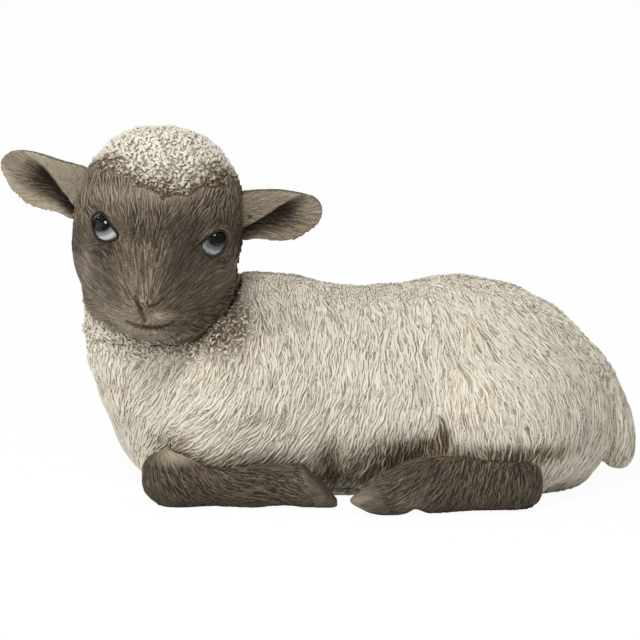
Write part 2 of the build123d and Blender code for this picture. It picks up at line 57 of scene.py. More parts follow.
class Wire:
    # a number coming out of a node, ready for plain arithmetic
    def __init__(self, recipe, socket):
        self.recipe = recipe
        self.socket = socket

    def reckon(self, operation, first, second):
        return self.recipe.node("ShaderNodeMath", {"operation": operation}, {0: first, 1: second})

    def __add__(self, other):
        return self.reckon("ADD", self, other)

    def __radd__(self, other):
        return self.reckon("ADD", other, self)

    def __sub__(self, other):
        return self.reckon("SUBTRACT", self, other)

    def __rsub__(self, other):
        return self.reckon("SUBTRACT", other, self)

    def __mul__(self, other):
        return self.reckon("MULTIPLY", self, other)

    def __rmul__(self, other):
        return self.reckon("MULTIPLY", other, self)


streakSet = {
    "steps": 7,
    "bendScale": 0.2,  # how much coarser the bends are than the streaks
    "contrast": 3.2,
}


class Recipe:
    # one material while it is being wired
    def __init__(self, name):
        self.material = bpy.data.materials.new(name)
        self.material.use_nodes = True
        self.tree = self.material.node_tree
        self.tree.nodes.clear()

    def node(self, kind, settings=None, sockets=None, outlet=0):
        made = self.tree.nodes.new(kind)
        for key, value in (settings or {}).items():
            setattr(made, key, value)
        for key, value in (sockets or {}).items():
            if isinstance(value, Wire):
                self.tree.links.new(value.socket, made.inputs[key])
            else:
                made.inputs[key].default_value = value
        return Wire(self, made.outputs[outlet]) if len(made.outputs) else made

    def stored(self, name):
        return self.node("ShaderNodeAttribute", {"attribute_name": name}, outlet="Fac")

    def place(self):
        return self.node("ShaderNodeTexCoord", outlet="Object")

    def shifted(self, start, way, distance):
        return self.node(
            "ShaderNodeVectorMath", {"operation": "MULTIPLY_ADD"}, {0: way, 1: (distance,) * 3, 2: start}
        )

    def noise(self, scale, detail=3.0, roughness=0.55, vector=None):
        return self.node(
            "ShaderNodeTexNoise",
            {"noise_dimensions": "3D"},
            {"Vector": vector or self.place(), "Scale": scale, "Detail": detail, "Roughness": roughness},
        )

    def streaks(self, scale, reach, wobble):
        # noise drawn out along the combed way: fine ridges between about 0 and 1
        flow = self.node("ShaderNodeAttribute", {"attribute_name": "flow"}, outlet="Vector")
        bendScale = scale * streakSet["bendScale"]
        bending = {"Vector": self.place(), "Scale": bendScale, "Detail": 1.0}
        bend = self.node("ShaderNodeTexNoise", {}, bending, outlet="Color")
        start = self.shifted(self.place(), bend, wobble)
        steps = streakSet["steps"]
        total = 0
        for step in range(steps):
            away = reach * (step / (steps - 1) - 0.5)
            total = total + self.noise(scale, 0.0, 0.5, self.shifted(start, flow, away))
        return (total * (1 / steps) - 0.5) * streakSet["contrast"] + 0.5

    def span(self, wire, low, high):
        # 0 below low, 1 above high, smooth between
        return self.node(
            "ShaderNodeMapRange",
            {"interpolation_type": "SMOOTHSTEP"},
            {"Value": wire, "From Min": low, "From Max": high},
        )

    def blend(self, factor, first, second):
        settings = {"data_type": "RGBA", "blend_type": "MIX"}
        return self.node("ShaderNodeMix", settings, {0: factor, 6: first, 7: second}, outlet=2)

    def bump(self, height, strength, distance):
        return self.node("ShaderNodeBump", {}, {"Height": height, "Strength": strength, "Distance": distance})

    def finished(self, shader):
        self.node("ShaderNodeOutputMaterial", {}, {"Surface": shader})
        return self.material

    def surface(self, **sockets):
        names = {key.replace("_", " "): value for key, value in sockets.items()}
        return self.finished(self.node("ShaderNodeBsdfPrincipled", {}, names))


# soft weights and directions
def ramp(values, start, run):
    # 0 up to start, 1 from a run beyond it; a run below 0 rises the other way
    return np.clip((values - start) / run, 0, 1)


def hump(values, wide):
    # 1 at 0, falling away softly on both sides
    return np.exp(-((values / wide) ** 2))


def unit(rows):
    return rows / np.maximum(np.linalg.norm(rows, axis=-1, keepdims=True), tiny)


def flatten(ways, normals):
    # directions laid into the surface
    return unit(ways - normals * (ways * normals).sum(1)[:, None])


def graded(sizes, *shares):
    # a plain size, and what each share adds to it where it is full
    total = sizes[0]
    for more, share in zip(sizes[1:], shares):
        total = total + more * share
    return total


def lump(spots, centre, radii, both=False):
    # a soft weight, 1 at the centre and falling to 0 past the radii, on one side or mirrored to both
    away = (spots - np.array(centre)) / np.array(radii)
    weight = np.exp(-(away**2).sum(1))
    if both:
        weight += lump(spots * np.array((1, -1, 1)), centre, radii)
    return weight


def darkened(spots, darkening):
    # how much darker each point is painted, as brown wash and as painted shade, from soft spots of which one
    # below 0 takes darkening away
    untouched = np.ones(len(spots))
    for centre, radii, strength, both in darkening:
        untouched *= 1 - np.clip(strength * lump(spots, centre, radii, both), -0.6, 1)
    return 1 - untouched


def lineGap(spots, line):
    # distance from a run of points
    line = np.array(line, float)
    best = np.full(len(spots), np.inf)
    for start, end in zip(line[:-1], line[1:]):
        run = end - start
        share = np.clip(((spots - start) @ run) / (run @ run), 0, 1)
        best = np.minimum(best, np.linalg.norm(spots - start - share[:, None] * run, axis=1))
    return best


rippleSet = {"waves": 5, "sizes": (0.7, 1.6), "phases": (0, 7), "level": 2.6}


def ripple(spots, size, seed):
    # a smooth uneven field between about -1 and 1
    rng = np.random.default_rng(seed)
    total = np.zeros(len(spots))
    for _ in range(rippleSet["waves"]):
        way = rng.normal(size=3)
        way /= np.linalg.norm(way)
        turns = 2 * math.pi / (size * rng.uniform(*rippleSet["sizes"]))
        total += np.sin((spots @ way) * turns + rng.uniform(*rippleSet["phases"]))
    return total / rippleSet["level"]


# meshes
def meshArrays(mesh):
    spots = np.empty(len(mesh.vertices) * 3, np.float32)
    mesh.vertices.foreach_get("co", spots)
    normals = np.empty(len(mesh.vertices) * 3, np.float32)
    mesh.vertices.foreach_get("normal", normals)
    return spots.reshape(-1, 3).astype(float) / mm, normals.reshape(-1, 3).astype(float)


def writeSpots(mesh, spots):
    mesh.vertices.foreach_set("co", (spots * mm).astype(np.float32).ravel())
    mesh.update()


def store(mesh, **values):
    # a number at each point, for the paints
    for name, numbers in values.items():
        layer = mesh.attributes.new(name, "FLOAT", "POINT")
        layer.data.foreach_set("value", np.asarray(numbers, np.float32))


def storeFlow(mesh, comb):
    # which way the hair lies at each point, for the streaks
    spots, normals = meshArrays(mesh)
    layer = mesh.attributes.new("flow", "FLOAT_VECTOR", "POINT")
    layer.data.foreach_set("vector", flatten(comb(spots, normals), normals).astype(np.float32).ravel())


def addPiece(name, mesh, material, replaced=None):
    piece = bpy.data.objects.new(name, mesh)
    bpy.context.scene.collection.objects.link(piece)
    mesh.polygons.foreach_set("use_smooth", [True] * len(mesh.polygons))
    mesh.materials.clear()
    mesh.materials.append(material)
    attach(piece, "root")
    if replaced:
        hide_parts(replaced)


def evaluated(data, *modifiers):
    # the mesh that comes of a curve, or of a mesh with modifiers given as kind and settings
    holder = bpy.data.objects.new("holder", data)
    bpy.context.scene.collection.objects.link(holder)
    for kind, settings in modifiers:
        modifier = holder.modifiers.new("shaping", kind)
        for key, value in settings.items():
            setattr(modifier, key, value)
    made = bpy.data.meshes.new_from_object(holder.evaluated_get(bpy.context.evaluated_depsgraph_get()))
    bpy.data.objects.remove(holder)
    return made


def reworked(mesh, work):
    # lets work change the mesh with bmesh operators
    working = bmesh.new()
    working.from_mesh(mesh)
    working.verts.ensure_lookup_table()
    work(working)
    working.to_mesh(mesh)
    working.free()
    mesh.update()


def remeshedCopy(nodeName, voxel, balls=()):
    # the CAD node's copy, merged, with any sockets filled by balls, in even small faces
    def fill(working):
        bmesh.ops.remove_doubles(working, verts=working.verts, dist=0.01 * mm)
        for centre, radius in balls:
            place = Matrix.Translation(Vector(centre) * mm)
            bmesh.ops.create_icosphere(working, subdivisions=4, radius=radius * mm, matrix=place)

    mesh = nodes[nodeName].data.copy()
    reworked(mesh, fill)
    return evaluated(mesh, ("REMESH", {"voxel_size": voxel * mm}))


def softened(mesh, rounds, chosen=None):
    # evens out the chosen points, or all of them
    def smooth(working):
        picked = working.verts[:] if chosen is None else [working.verts[i] for i in np.nonzero(chosen)[0]]
        axes = {"use_axis_x": True, "use_axis_y": True, "use_axis_z": True}
        for _ in range(rounds):
            bmesh.ops.smooth_vert(working, verts=picked, factor=0.5, **axes)

    reworked(mesh, smooth)


def finer(mesh, chosen):
    # halves the edges between chosen points
    def split(working):
        inside = set(np.nonzero(chosen)[0].tolist())
        edges = [e for e in working.edges if e.verts[0].index in inside and e.verts[1].index in inside]
        bmesh.ops.subdivide_edges(working, edges=edges, cuts=1, use_grid_fill=True, smooth=0.0)

    reworked(mesh, split)


def tubes(lines, radii, roundness, closed=False):
    # tubes along lines of points, with a radius for each point
    curve = bpy.data.curves.new("tubes", "CURVE")
    curve.dimensions = "3D"
    curve.bevel_depth = 1.0
    curve.bevel_resolution = roundness
    places = np.ones((*lines.shape[:2], 4), np.float32)
    places[:, :, :3] = lines * mm
    for place, girth in zip(places, (radii * mm).astype(np.float32)):
        spline = curve.splines.new("POLY")
        spline.points.add(len(place) - 1)
        spline.points.foreach_set("co", place.ravel())
        spline.points.foreach_set("radius", girth)
        if closed:
            spline.use_cyclic_u = True
    mesh = evaluated(curve)
    bpy.data.curves.remove(curve)
    return mesh


# strands of wool and hair
class Skin:
    # a finished surface that strands are laid on
    def __init__(self, *meshes):
        spots, normals, corners = [], [], []
        before = 0
        for mesh in meshes:
            places, ways = meshArrays(mesh)
            mesh.calc_loop_triangles()
            triangles = np.empty(len(mesh.loop_triangles) * 3, np.int32)
            mesh.loop_triangles.foreach_get("vertices", triangles)
            spots.append(places)
            normals.append(ways)
            corners.append(triangles.reshape(-1, 3) + before)
            before += len(places)
        self.spots, self.normals = np.vstack(spots), np.vstack(normals)
        self.corners = np.vstack(corners)
        a, b, c = (self.spots[self.corners[:, i]] for i in range(3))
        self.areas = np.linalg.norm(np.cross(b - a, c - a), axis=1) / 2
        self.tree = BVHTree.FromPolygons(self.spots.tolist(), self.corners.tolist())

    def facing(self, faces):
        return unit(self.normals[self.corners[faces]].mean(1))

    def scatter(self, count, rng, keep):
        faces = rng.choice(len(self.areas), size=count, p=self.areas / self.areas.sum())
        u, v = rng.random(count), rng.random(count)
        over = u + v > 1
        u[over], v[over] = 1 - u[over], 1 - v[over]
        a, b, c = (self.spots[self.corners[faces, i]] for i in range(3))
        spots = a + (b - a) * u[:, None] + (c - a) * v[:, None]
        normals = self.facing(faces)
        chosen = keep(spots, normals)
        return spots[chosen], normals[chosen]

    def land(self, spots):
        # each point put back on the surface, with the surface's direction there
        landed = np.empty_like(spots)
        faces = np.empty(len(spots), np.int64)
        for i, spot in enumerate(spots.tolist()):
            landed[i], _, faces[i], _ = self.tree.find_nearest(spot)
        return landed, self.facing(faces)


def thinned(spots, ways, normals, wide, long):
    # keeps points so that no two lie closer than wide across the hair or long along it
    wide = np.broadcast_to(wide, len(spots)).tolist()
    long = np.broadcast_to(long, len(spots)).tolist()
    cell = max(long)
    reach = 3 * cell
    beside = [(i, j, k) for i in (-1, 0, 1) for j in (-1, 0, 1) for k in (-1, 0, 1)]
    grid = {}

    def crowded(row, key, wideHere, longHere):
        x, y, z, ax, ay, az, bx, by, bz = row
        for i, j, k in beside:
            for ox, oy, oz in grid.get((key[0] + i, key[1] + j, key[2] + k), ()):
                ux, uy, uz = ox - x, oy - y, oz - z
                along = (ux * ax + uy * ay + uz * az) / longHere
                across = (ux * bx + uy * by + uz * bz) / wideHere
                if along * along + across * across < 1 and abs(ux) + abs(uy) + abs(uz) < reach:
                    return True
        return False

    kept = []
    for i, row in enumerate(np.hstack((spots, ways, np.cross(normals, ways))).tolist()):
        key = tuple(int(value // cell) for value in row[:3])
        if not crowded(row, key, wide[i], long[i]):
            grid.setdefault(key, []).append(row[:3])
            kept.append(i)
    return np.array(kept, int)


strandSet = {
    "phaseTurn": 6.3,
    "swingSpread": (0.6, 0.8),  # the least, and how much more by chance
    "roundness": 0,
    "squash": 0.8,
    "capSides": 12,
}


def growStrands(skin, comb, spots, normals, lengths, radii, style, seed):
    # follows the comb over the skin from each point, and returns the centre lines with their surface
    rng = np.random.default_rng(seed)
    steps = style["steps"]
    count = len(spots)
    phase = strandSet["phaseTurn"] * ripple(spots, style["phaseSize"], seed + 1)
    phase += rng.normal(0, style["phaseJitter"], count)
    lean = style["lean"] * ripple(spots, style["leanSize"], seed + 2)
    lean += rng.normal(0, style["leanJitter"], count)
    least, more = strandSet["swingSpread"]
    swing = style["swing"] * (least + more * rng.random(count))
    curl = rng.normal(0, style["curl"], count)
    base = np.empty((count, steps, 3))
    ups = np.empty((count, steps, 3))
    here, up = spots, normals
    for step in range(steps):
        base[:, step], ups[:, step] = here, up
        if step == steps - 1:
            break
        travelled = lengths * step / (steps - 1)
        way = flatten(comb(here, up), up)
        sideways = np.cross(up, way)
        wave = np.sin(2 * math.pi * travelled / style["waveLength"] + phase)
        turn = lean + swing * wave + curl * step / steps
        way = way * np.cos(turn)[:, None] + sideways * np.sin(turn)[:, None]
        here, up = skin.land(here + way * (lengths / (steps - 1))[:, None])
    share = np.linspace(0, 1, steps)
    girth = np.interp(share, *style["girth"])[None, :] * radii[:, None]
    rise = np.interp(share, *style["rise"])[None, :] * radii[:, None]
    rise += (rng.normal(0, style["layer"], count) * radii)[:, None]
    return base, ups, girth, rise


def strandMesh(base, ups, girth, rise):
    # tubes along the centre lines, a little flattened onto the skin, and how high each point stands above it
    def close(working):
        ends = [edge for edge in working.edges if edge.is_boundary]
        bmesh.ops.holes_fill(working, edges=ends, sides=strandSet["capSides"])

    count, steps, _ = base.shape
    centres = base + ups * rise[:, :, None]
    mesh = tubes(centres, girth, strandSet["roundness"])
    reworked(mesh, close)
    ring = len(mesh.vertices) // (count * steps)
    spots = meshArrays(mesh)[0].reshape(count, steps, ring, 3)
    centres, base, ups = (rows[:, :, None, :] for rows in (centres, base, ups))
    height = ((spots - centres) * ups).sum(3)
    spots = spots - ups * (height * (1 - strandSet["squash"]))[..., None]
    lift = ((spots - base) * ups).sum(3).ravel()
    spots = spots.reshape(-1, 3)
    writeSpots(mesh, spots)
    return mesh, spots, lift


class Coat:
    # where the strands of one coat start, how long and thick each of them is, and its tone
    def __init__(self, skin, comb, facts, keep, spacing, sizes):
        rng = np.random.default_rng(facts["seed"])
        spots, ups = skin.scatter(facts["tries"], rng, keep)
        kept = thinned(spots, flatten(comb(spots, ups), ups), ups, *spacing(spots))
        self.skin, self.seed = skin, facts["growSeed"]
        self.spots, self.ups = spots[kept], ups[kept]
        self.count = len(kept)
        lengths, radii = sizes(self.spots)
        self.lengths = lengths * rng.uniform(*facts["lengthSpread"], self.count)
        self.radii = radii * rng.uniform(*facts["radiusSpread"], self.count)
        self.tone = rng.random(self.count)

    def grow(self, comb, style, chosen=slice(None), lowest=None):
        # the chosen strands as one mesh, each call with its own seed; lowest keeps them off the ground
        base, ups, girth, rise = growStrands(
            self.skin, comb, self.spots[chosen], self.ups[chosen], self.lengths[chosen], self.radii[chosen],
            style, self.seed,
        )
        self.seed += 1
        if lowest is not None:
            base[:, :, 2] = np.maximum(base[:, :, 2], lowest)
        mesh, places, lift = strandMesh(base, ups, girth, rise)
        store(mesh, tone=np.repeat(self.tone[chosen], len(places) // len(base)))
        return mesh, places, lift


def combFrom(guides, spread):
    # a flow field blended from guides of place and direction, the same on both sides
    places = np.array([place for place, _ in guides], float)
    ways = unit(np.array([way for _, way in guides], float))
    faint = 1e-12  # lets the nearest guides speak where all of them are far

    def comb(spots, ups):
        side = np.where(spots[:, 1] > 0, -1.0, 1.0)
        folded = spots * np.stack((np.ones_like(side), side, np.ones_like(side)), 1)
        away = ((folded[:, None, :] - places[None]) ** 2).sum(2)
        weight = np.exp(-away / (2 * spread**2)) + faint / (1 + away)
        way = (weight[:, :, None] * ways[None]).sum(1)
        way[:, 1] *= side
        return unit(way)

    return comb


# paints of wool, hair and horn
woolPaint = {
    "groove": (122, 102, 73),
    "cream": (210, 204, 189),
    "white": (238, 236, 229),
    "warm": (196, 180, 152),
    # brown of the wash, also used for painted shade
    "washAndShade": (86, 70, 49),
    "creamSpan": (-0.05, 0.45),
    "whiteSpan": (0.5, 1.25),
    "warmSpan": (0.5, 0.75),
    "washAndShadeSpan": (0.02, 0.95),
    "patchScale": 38.0,
    "grainScale": 900.0,
    "streakScale": 520.0,
    "streakReach": 0.009,
    "streakWobble": 0.002,
    "skinBump": (0.9, 0.0013),
    "strandBump": (0.35, 0.0004),
    "roughness": 0.82,
}
hairPaint = {
    "groove": (32, 24, 15),
    "body": (91, 78, 62),
    "crest": (156, 141, 118),
    # dark brown of the wash, also used for painted shade
    "washAndShade": (44, 35, 27),
    "pale": (206, 192, 168),
    "bodySpan": (0.0, 0.5),
    "crestSpan": (0.4, 1.05),
    "crestShare": 0.8,
    "patchScale": 60.0,
    "grainScale": 1300.0,
    "streakReach": 0.0055,
    "streakWobble": 0.0008,
    "skinBump": (0.9, 0.0008),
    "strandBump": (0.3, 0.0003),
}
hornPaint = {
    "dark": (58, 49, 39),
    "light": (96, 86, 73),
    "span": (0.3, 0.75),
    "scale": 420.0,
    "stretch": (0.25, 1.0, 1.0),
}


def woolMaterial(name, onSkin=False):
    # brown grooves, cream locks and white crests, warmer in patches, under a brown wash that is partly
    # painted shade in folds, gaps, low places and under the jaw; the skin between the locks has streaks in
    # place of crests
    look = woolPaint
    mix = Recipe(name)
    shade = mix.stored("shade")
    patches = mix.noise(look["patchScale"])
    grain = mix.noise(look["grainScale"], 2.0)
    if onSkin:
        ridge = mix.streaks(look["streakScale"], look["streakReach"], look["streakWobble"])
        level = ridge * 0.8 + (grain - 0.5) * 0.25
        normal = mix.bump(mix.span(ridge, 0.0, 0.7), *look["skinBump"])
        tone = 0.5
    else:
        tone = mix.stored("tone")
        level = mix.stored("crest") + (tone - 0.5) * 0.3 + (grain - 0.5) * 0.5
        normal = mix.bump(grain, *look["strandBump"])
    colour = mix.blend(mix.span(level, *look["creamSpan"]), paint(*look["groove"]), paint(*look["cream"]))
    white = mix.span(level + (patches - 0.5) * 1.5, *look["whiteSpan"])
    colour = mix.blend(white, colour, paint(*look["white"]))
    warmth = mix.span(patches + (tone - 0.5) * 0.3, *look["warmSpan"]) * 0.35 + shade * 0.45
    colour = mix.blend(warmth, colour, paint(*look["warm"]))
    washAndShadeShare = mix.span(shade + (0.55 - level) * 1.35 * shade, *look["washAndShadeSpan"])
    colour = mix.blend(washAndShadeShare, colour, paint(*look["washAndShade"]))
    return mix.surface(Base_Color=colour, Roughness=look["roughness"], Normal=normal, Specular_IOR_Level=0.25)


def hornColour(mix, shade, pale):
    place = mix.node("ShaderNodeMapping", {}, {"Vector": mix.place(), "Scale": hornPaint["stretch"]})
    streak = mix.noise(hornPaint["scale"], vector=place)
    light = mix.span(streak, *hornPaint["span"])
    horn = mix.blend(light, paint(*hornPaint["dark"]), paint(*hornPaint["light"]))
    horn = mix.blend(shade, horn, paint(*hairPaint["washAndShade"]))
    return mix.blend(pale, horn, paint(*hairPaint["pale"]))


def bareWoolColour(mix, grain, shade):
    # the paint between the nubs of the crown and collar
    wool = mix.blend(mix.span(grain, 0.3, 0.7), paint(*woolPaint["groove"]), paint(*woolPaint["cream"]))
    return mix.blend(shade, wool, paint(*woolPaint["washAndShade"]))


def hairMaterial(name, roughness, skinPitch=0.0, beside=None):
    # short hair; on the skin below it streaks stand for the finest hairs, and wool or horn can lie beside it
    look = hairPaint
    mix = Recipe(name)
    shade, pale = mix.stored("shade"), mix.stored("pale")
    patches = mix.noise(look["patchScale"])
    grain = mix.noise(look["grainScale"], 2.0)
    if skinPitch:
        ridge = mix.streaks(skinPitch, look["streakReach"], look["streakWobble"])
        level = ridge * 1.15 - 0.1 + mix.stored("crest") + (grain - 0.5) * 0.3
        carved = mix.span(ridge, 0.0, 0.75)
        if beside == "horn":
            carved = carved * (1 - mix.stored("hoof"))
        normal = mix.bump(carved, *look["skinBump"])
    else:
        level = mix.stored("crest") + (mix.stored("tone") - 0.5) * 0.25 + (grain - 0.5) * 0.4
        normal = mix.bump(grain, *look["strandBump"])
    colour = mix.blend(mix.span(level, *look["bodySpan"]), paint(*look["groove"]), paint(*look["body"]))
    lit = mix.span(level + (patches - 0.5) * 0.6, *look["crestSpan"])
    colour = mix.blend(lit * look["crestShare"], colour, paint(*look["crest"]))
    colour = mix.blend(shade, colour, paint(*look["washAndShade"]))
    colour = mix.blend(pale, colour, paint(*look["pale"]))
    if beside == "wool":
        colour = mix.blend(mix.stored("hair"), bareWoolColour(mix, grain, shade), colour)
    if beside == "horn":
        colour = mix.blend(mix.stored("hoof"), colour, hornColour(mix, shade, pale))
    return mix.surface(Base_Color=colour, Roughness=roughness, Normal=normal, Specular_IOR_Level=0.3)


woolMat = woolMaterial("woolPaint")
woolSkinMat = woolMaterial("woolSkinPaint", onSkin=True)
faceMat = hairMaterial("facePaint", roughness=0.62)
faceSkinMat = hairMaterial("headSkinPaint", roughness=0.6, skinPitch=1080.0, beside="wool")
earMat = hairMaterial("earSkinPaint", roughness=0.6, skinPitch=1000.0)
legMat = hairMaterial("legPaint", roughness=0.6)
legSkinMat = hairMaterial("legSkinPaint", roughness=0.52, skinPitch=850.0, beside="horn")
print("paints mixed")


# frame of the head: x to its left, y up over the brow, z out of the muzzle
headSet = {"centre": (-95.0, -21.0, 163.0), "yaw": 3.5, "pitch": 33.0, "roll": 8.5}


def headAxes():
    yaw, pitch, roll = (math.radians(headSet[key]) for key in ("yaw", "pitch", "roll"))
    level = np.array((math.cos(yaw), -math.sin(yaw), 0.0))
    ahead = np.array((-math.sin(yaw) * math.cos(pitch), -math.cos(yaw) * math.cos(pitch), -math.sin(pitch)))
    rise = np.cross(ahead, level)
    side = level * math.cos(roll) - rise * math.sin(roll)
    return np.stack((side, np.cross(ahead, side), ahead))


headTurn = headAxes()
headCentre = np.array(headSet["centre"])


def toHead(spots):
    return (spots - headCentre) @ headTurn.T


def fromHead(spots):
    return np.asarray(spots, float) @ headTurn + headCentre


# the front plane, in which the marks of the face are placed: right and up as it is seen from a little above
frontRight = np.array((0.992, 0.115, -0.051))
frontUp = np.array((-0.117, 0.698, -0.707))


def frontPlane(local):
    return np.stack((local @ frontRight, local @ frontUp), 1)


def spotsOf(local, marks):
    # soft round marks of the front plane added up: place, radii, strength
    flat = frontPlane(local)
    total = np.zeros(len(local))
    for (x, y), (wide, tall), strength in marks:
        total += strength * np.exp(-(((flat[:, 0] - x) / wide) ** 2) - (((flat[:, 1] - y) / tall) ** 2))
    return total * (local[:, 2] > 0)


# the edge between hair and wool round the face: how far forward the hair starts and how far it reaches below,
# by the angle about the muzzle, and where the wool of the crown hangs lower, in the front plane
faceEdge = {
    "angle": (
        -180, -168, -150, -132, -118, -102, -75, -57, -34, -20, -6,
        8, 33, 58, 76, 90, 104, 122, 145, 165, 180,
    ),
    "ahead": (-8, -4, 6, 12, 26, 40, 40, 36, 20, 6, -4, -10, -12, 4, 19, 19.5, 17, 2, -11, -10, -8),
    "below": (-150, -135, -129, -125, -120, -104, -90, -75, -51, -42, -36, -31, -27, -20, -6),
    "reach": (80, 66, 59, 54, 46.5, 37.5, 36, 36, 41, 45, 49.5, 53, 55, 62, 80),
    "uneven": 1.6,
    "unevenSize": 9,
    "hanging": [
        ((-28, 32), (12, 9), 7),
        ((-14, 24), (9, 9), 5),
        ((1, 15), (12, 8), 2.5),
        ((22, 19), (11, 9), 6),
        ((38, 23), (9, 9), 7.5),
    ],
}


def aboutMuzzle(local):
    return np.degrees(np.arctan2(local[:, 1], local[:, 0]))


def faceDepth(local):
    # above 0 on the short hair of the face, below 0 in the wool, in millimetres from the edge
    angle = aboutMuzzle(local)
    ahead = local[:, 2] - np.interp(angle, faceEdge["angle"], faceEdge["ahead"])
    inside = np.interp(angle, faceEdge["below"], faceEdge["reach"]) - np.hypot(local[:, 0], local[:, 1])
    depth = np.minimum(ahead, inside) + faceEdge["uneven"] * ripple(local, faceEdge["unevenSize"], 12)
    return depth - spotsOf(local, faceEdge["hanging"])


# skins of body and tail
bodySet = {
    "voxel": 2.2,
    "smoothing": 26,
    "smoothFrom": 6.0,  # height above which the sides are evened out
    "joint": 94.0,  # height of the joint with the head, which keeps its edges
    "jointEnd": -40.0,
    "rim": 2.5,  # stays as cast
    "axisEnds": (-85, 140),  # faces that turn away from this line are outer ones
    "axisHeight": 50,
    "chestEnd": -45,
    "chestShift": -5,
    "sink": 0.9,
    "uneven": 0.66,
    "unevenSize": 26,
    "grooves": [  # side-view lines pressed into both flanks: points, width, depth
        (((2, 0, 62), (7, 0, 40), (6, 0, 12)), 5.0, 3.2),
        (((62, 0, 92), (66, 0, 62), (72, 0, 38)), 6.0, 2.6),
        (((69, 0, 52), (75, 0, 36)), 3.5, 3.5),
    ],
    "flank": (22, 15),  # where the grooves start beside the spine
    "rump": ((142, 0, 98), (28, 42, 22)),
    "rumpLift": 3.4,
    "tuck": {"under": 16, "from": -14, "to": 34, "middle": 10, "half": 16, "depth": 7.0},
}
tailSet = {"voxel": 1.6, "smoothing": 6, "sink": 0.4, "toRump": 5.5}


def outerSide(spots, normals, axis):
    return ((spots - axis) * normals).sum(1) > 0


def bodyAxis(spots):
    axis = spots.copy()
    axis[:, 0] = np.clip(spots[:, 0], *bodySet["axisEnds"])
    axis[:, 1] = np.where(spots[:, 0] < bodySet["chestEnd"], bodySet["chestShift"], 0)
    axis[:, 2] = bodySet["axisHeight"]
    return axis


def bodyOuter(spots, normals):
    return outerSide(spots, normals, bodyAxis(spots))


def carveBody():
    mesh = remeshedCopy("torso_casting", bodySet["voxel"])
    spots, normals = meshArrays(mesh)
    x, z = spots[:, 0], spots[:, 2]
    evened = np.where(z < bodySet["joint"], z > bodySet["smoothFrom"], x > bodySet["jointEnd"])
    softened(mesh, bodySet["smoothing"], bodyOuter(spots, normals) & evened)
    spots, normals = meshArrays(mesh)
    outer = bodyOuter(spots, normals) & (spots[:, 2] > bodySet["rim"])
    sideOn = spots * np.array((1, 0, 1))
    flank = ramp(np.abs(spots[:, 1]), *bodySet["flank"])
    push = np.zeros(len(spots))
    for line, wide, deep in bodySet["grooves"]:
        push -= deep * hump(lineGap(sideOn, line), wide) * flank
    push += bodySet["uneven"] * ripple(spots, bodySet["unevenSize"], 5)
    push += bodySet["rumpLift"] * lump(spots, *bodySet["rump"])
    push -= bodySet["sink"]
    spots[outer] += normals[outer] * push[outer, None]
    tuck = bodySet["tuck"]
    x, z = spots[:, 0], spots[:, 2]
    waist = outer & (z < tuck["under"]) & (x > tuck["from"]) & (x < tuck["to"])
    fade = np.exp(-(((x[waist] - tuck["middle"]) / tuck["half"]) ** 4))
    inwards = tuck["depth"] * (1 - z[waist] / tuck["under"]) * fade
    spots[waist, 1] -= np.sign(spots[waist, 1]) * inwards
    writeSpots(mesh, spots)
    return mesh


def carveTail():
    mesh = remeshedCopy("tail", tailSet["voxel"])
    softened(mesh, tailSet["smoothing"])
    spots, normals = meshArrays(mesh)
    spots = spots - normals * tailSet["sink"]
    spots[:, 0] -= tailSet["toRump"] * np.clip(-normals[:, 0], 0, 1)
    writeSpots(mesh, spots)
    return mesh


bodyMesh = carveBody()
tailMesh = carveTail()
bodySkin = Skin(bodyMesh, tailMesh)

bodyWashAndShade = [  # brown wash, and painted shade in folds and gaps: centre, radii, strength, on both sides
    ((-95, -40, 100), (52, 40, 13), 0.5, False),
    ((-51, -36, 104), (13, 30, 24), 0.56, False),
    ((-64, -50, 102), (15, 20, 12), 0.36, False),
    ((-24, -46, 112), (16, 20, 12), 0.25, False),
    ((100, -60, 34), (44, 30, 8), 0.66, True),
    # painted shade in the gap between the belly and the hind leg
    ((42, -80, 30), (22, 30, 9), 0.42, True),
    ((170, 0, 62), (10, 20, 26), 0.1, False),
    # painted shade low on the belly and in the gap under it, between the legs
    ((48, -60, 22), (26, 30, 13), 0.58, True),
    ((24, -60, 12), (30, 30, 12), 0.55, True),
    ((-50, -70, 28), (60, 22, 8), 0.55, True),
    ((-92, -60, 36), (16, 22, 9), 0.45, True),
    ((118, -60, 33), (26, 30, 7), 0.4, True),
    # painted shade: a dark line along the flank fold
    ((72, -60, 42), (4, 30, 8), 0.9, True),
    ((61, -60, 37), (8, 30, 6), 0.5, True),
    ((46, -60, 32), (14, 30, 7), 0.25, True),
    # painted shade in the groove behind the shoulder and in the gap under the belly
    ((6, -60, 25), (7, 30, 22), 0.45, True),
    ((14, -60, 10), (18, 30, 13), 0.6, True),
]
# darker low on the tail and along its sides by the rump
tailDarkening = [((178, -6, 20), (14, 20, 16), 0.08, True), ((160, -14, 60), (14, 8, 30), 0.22, True)]
print("body skin carved")

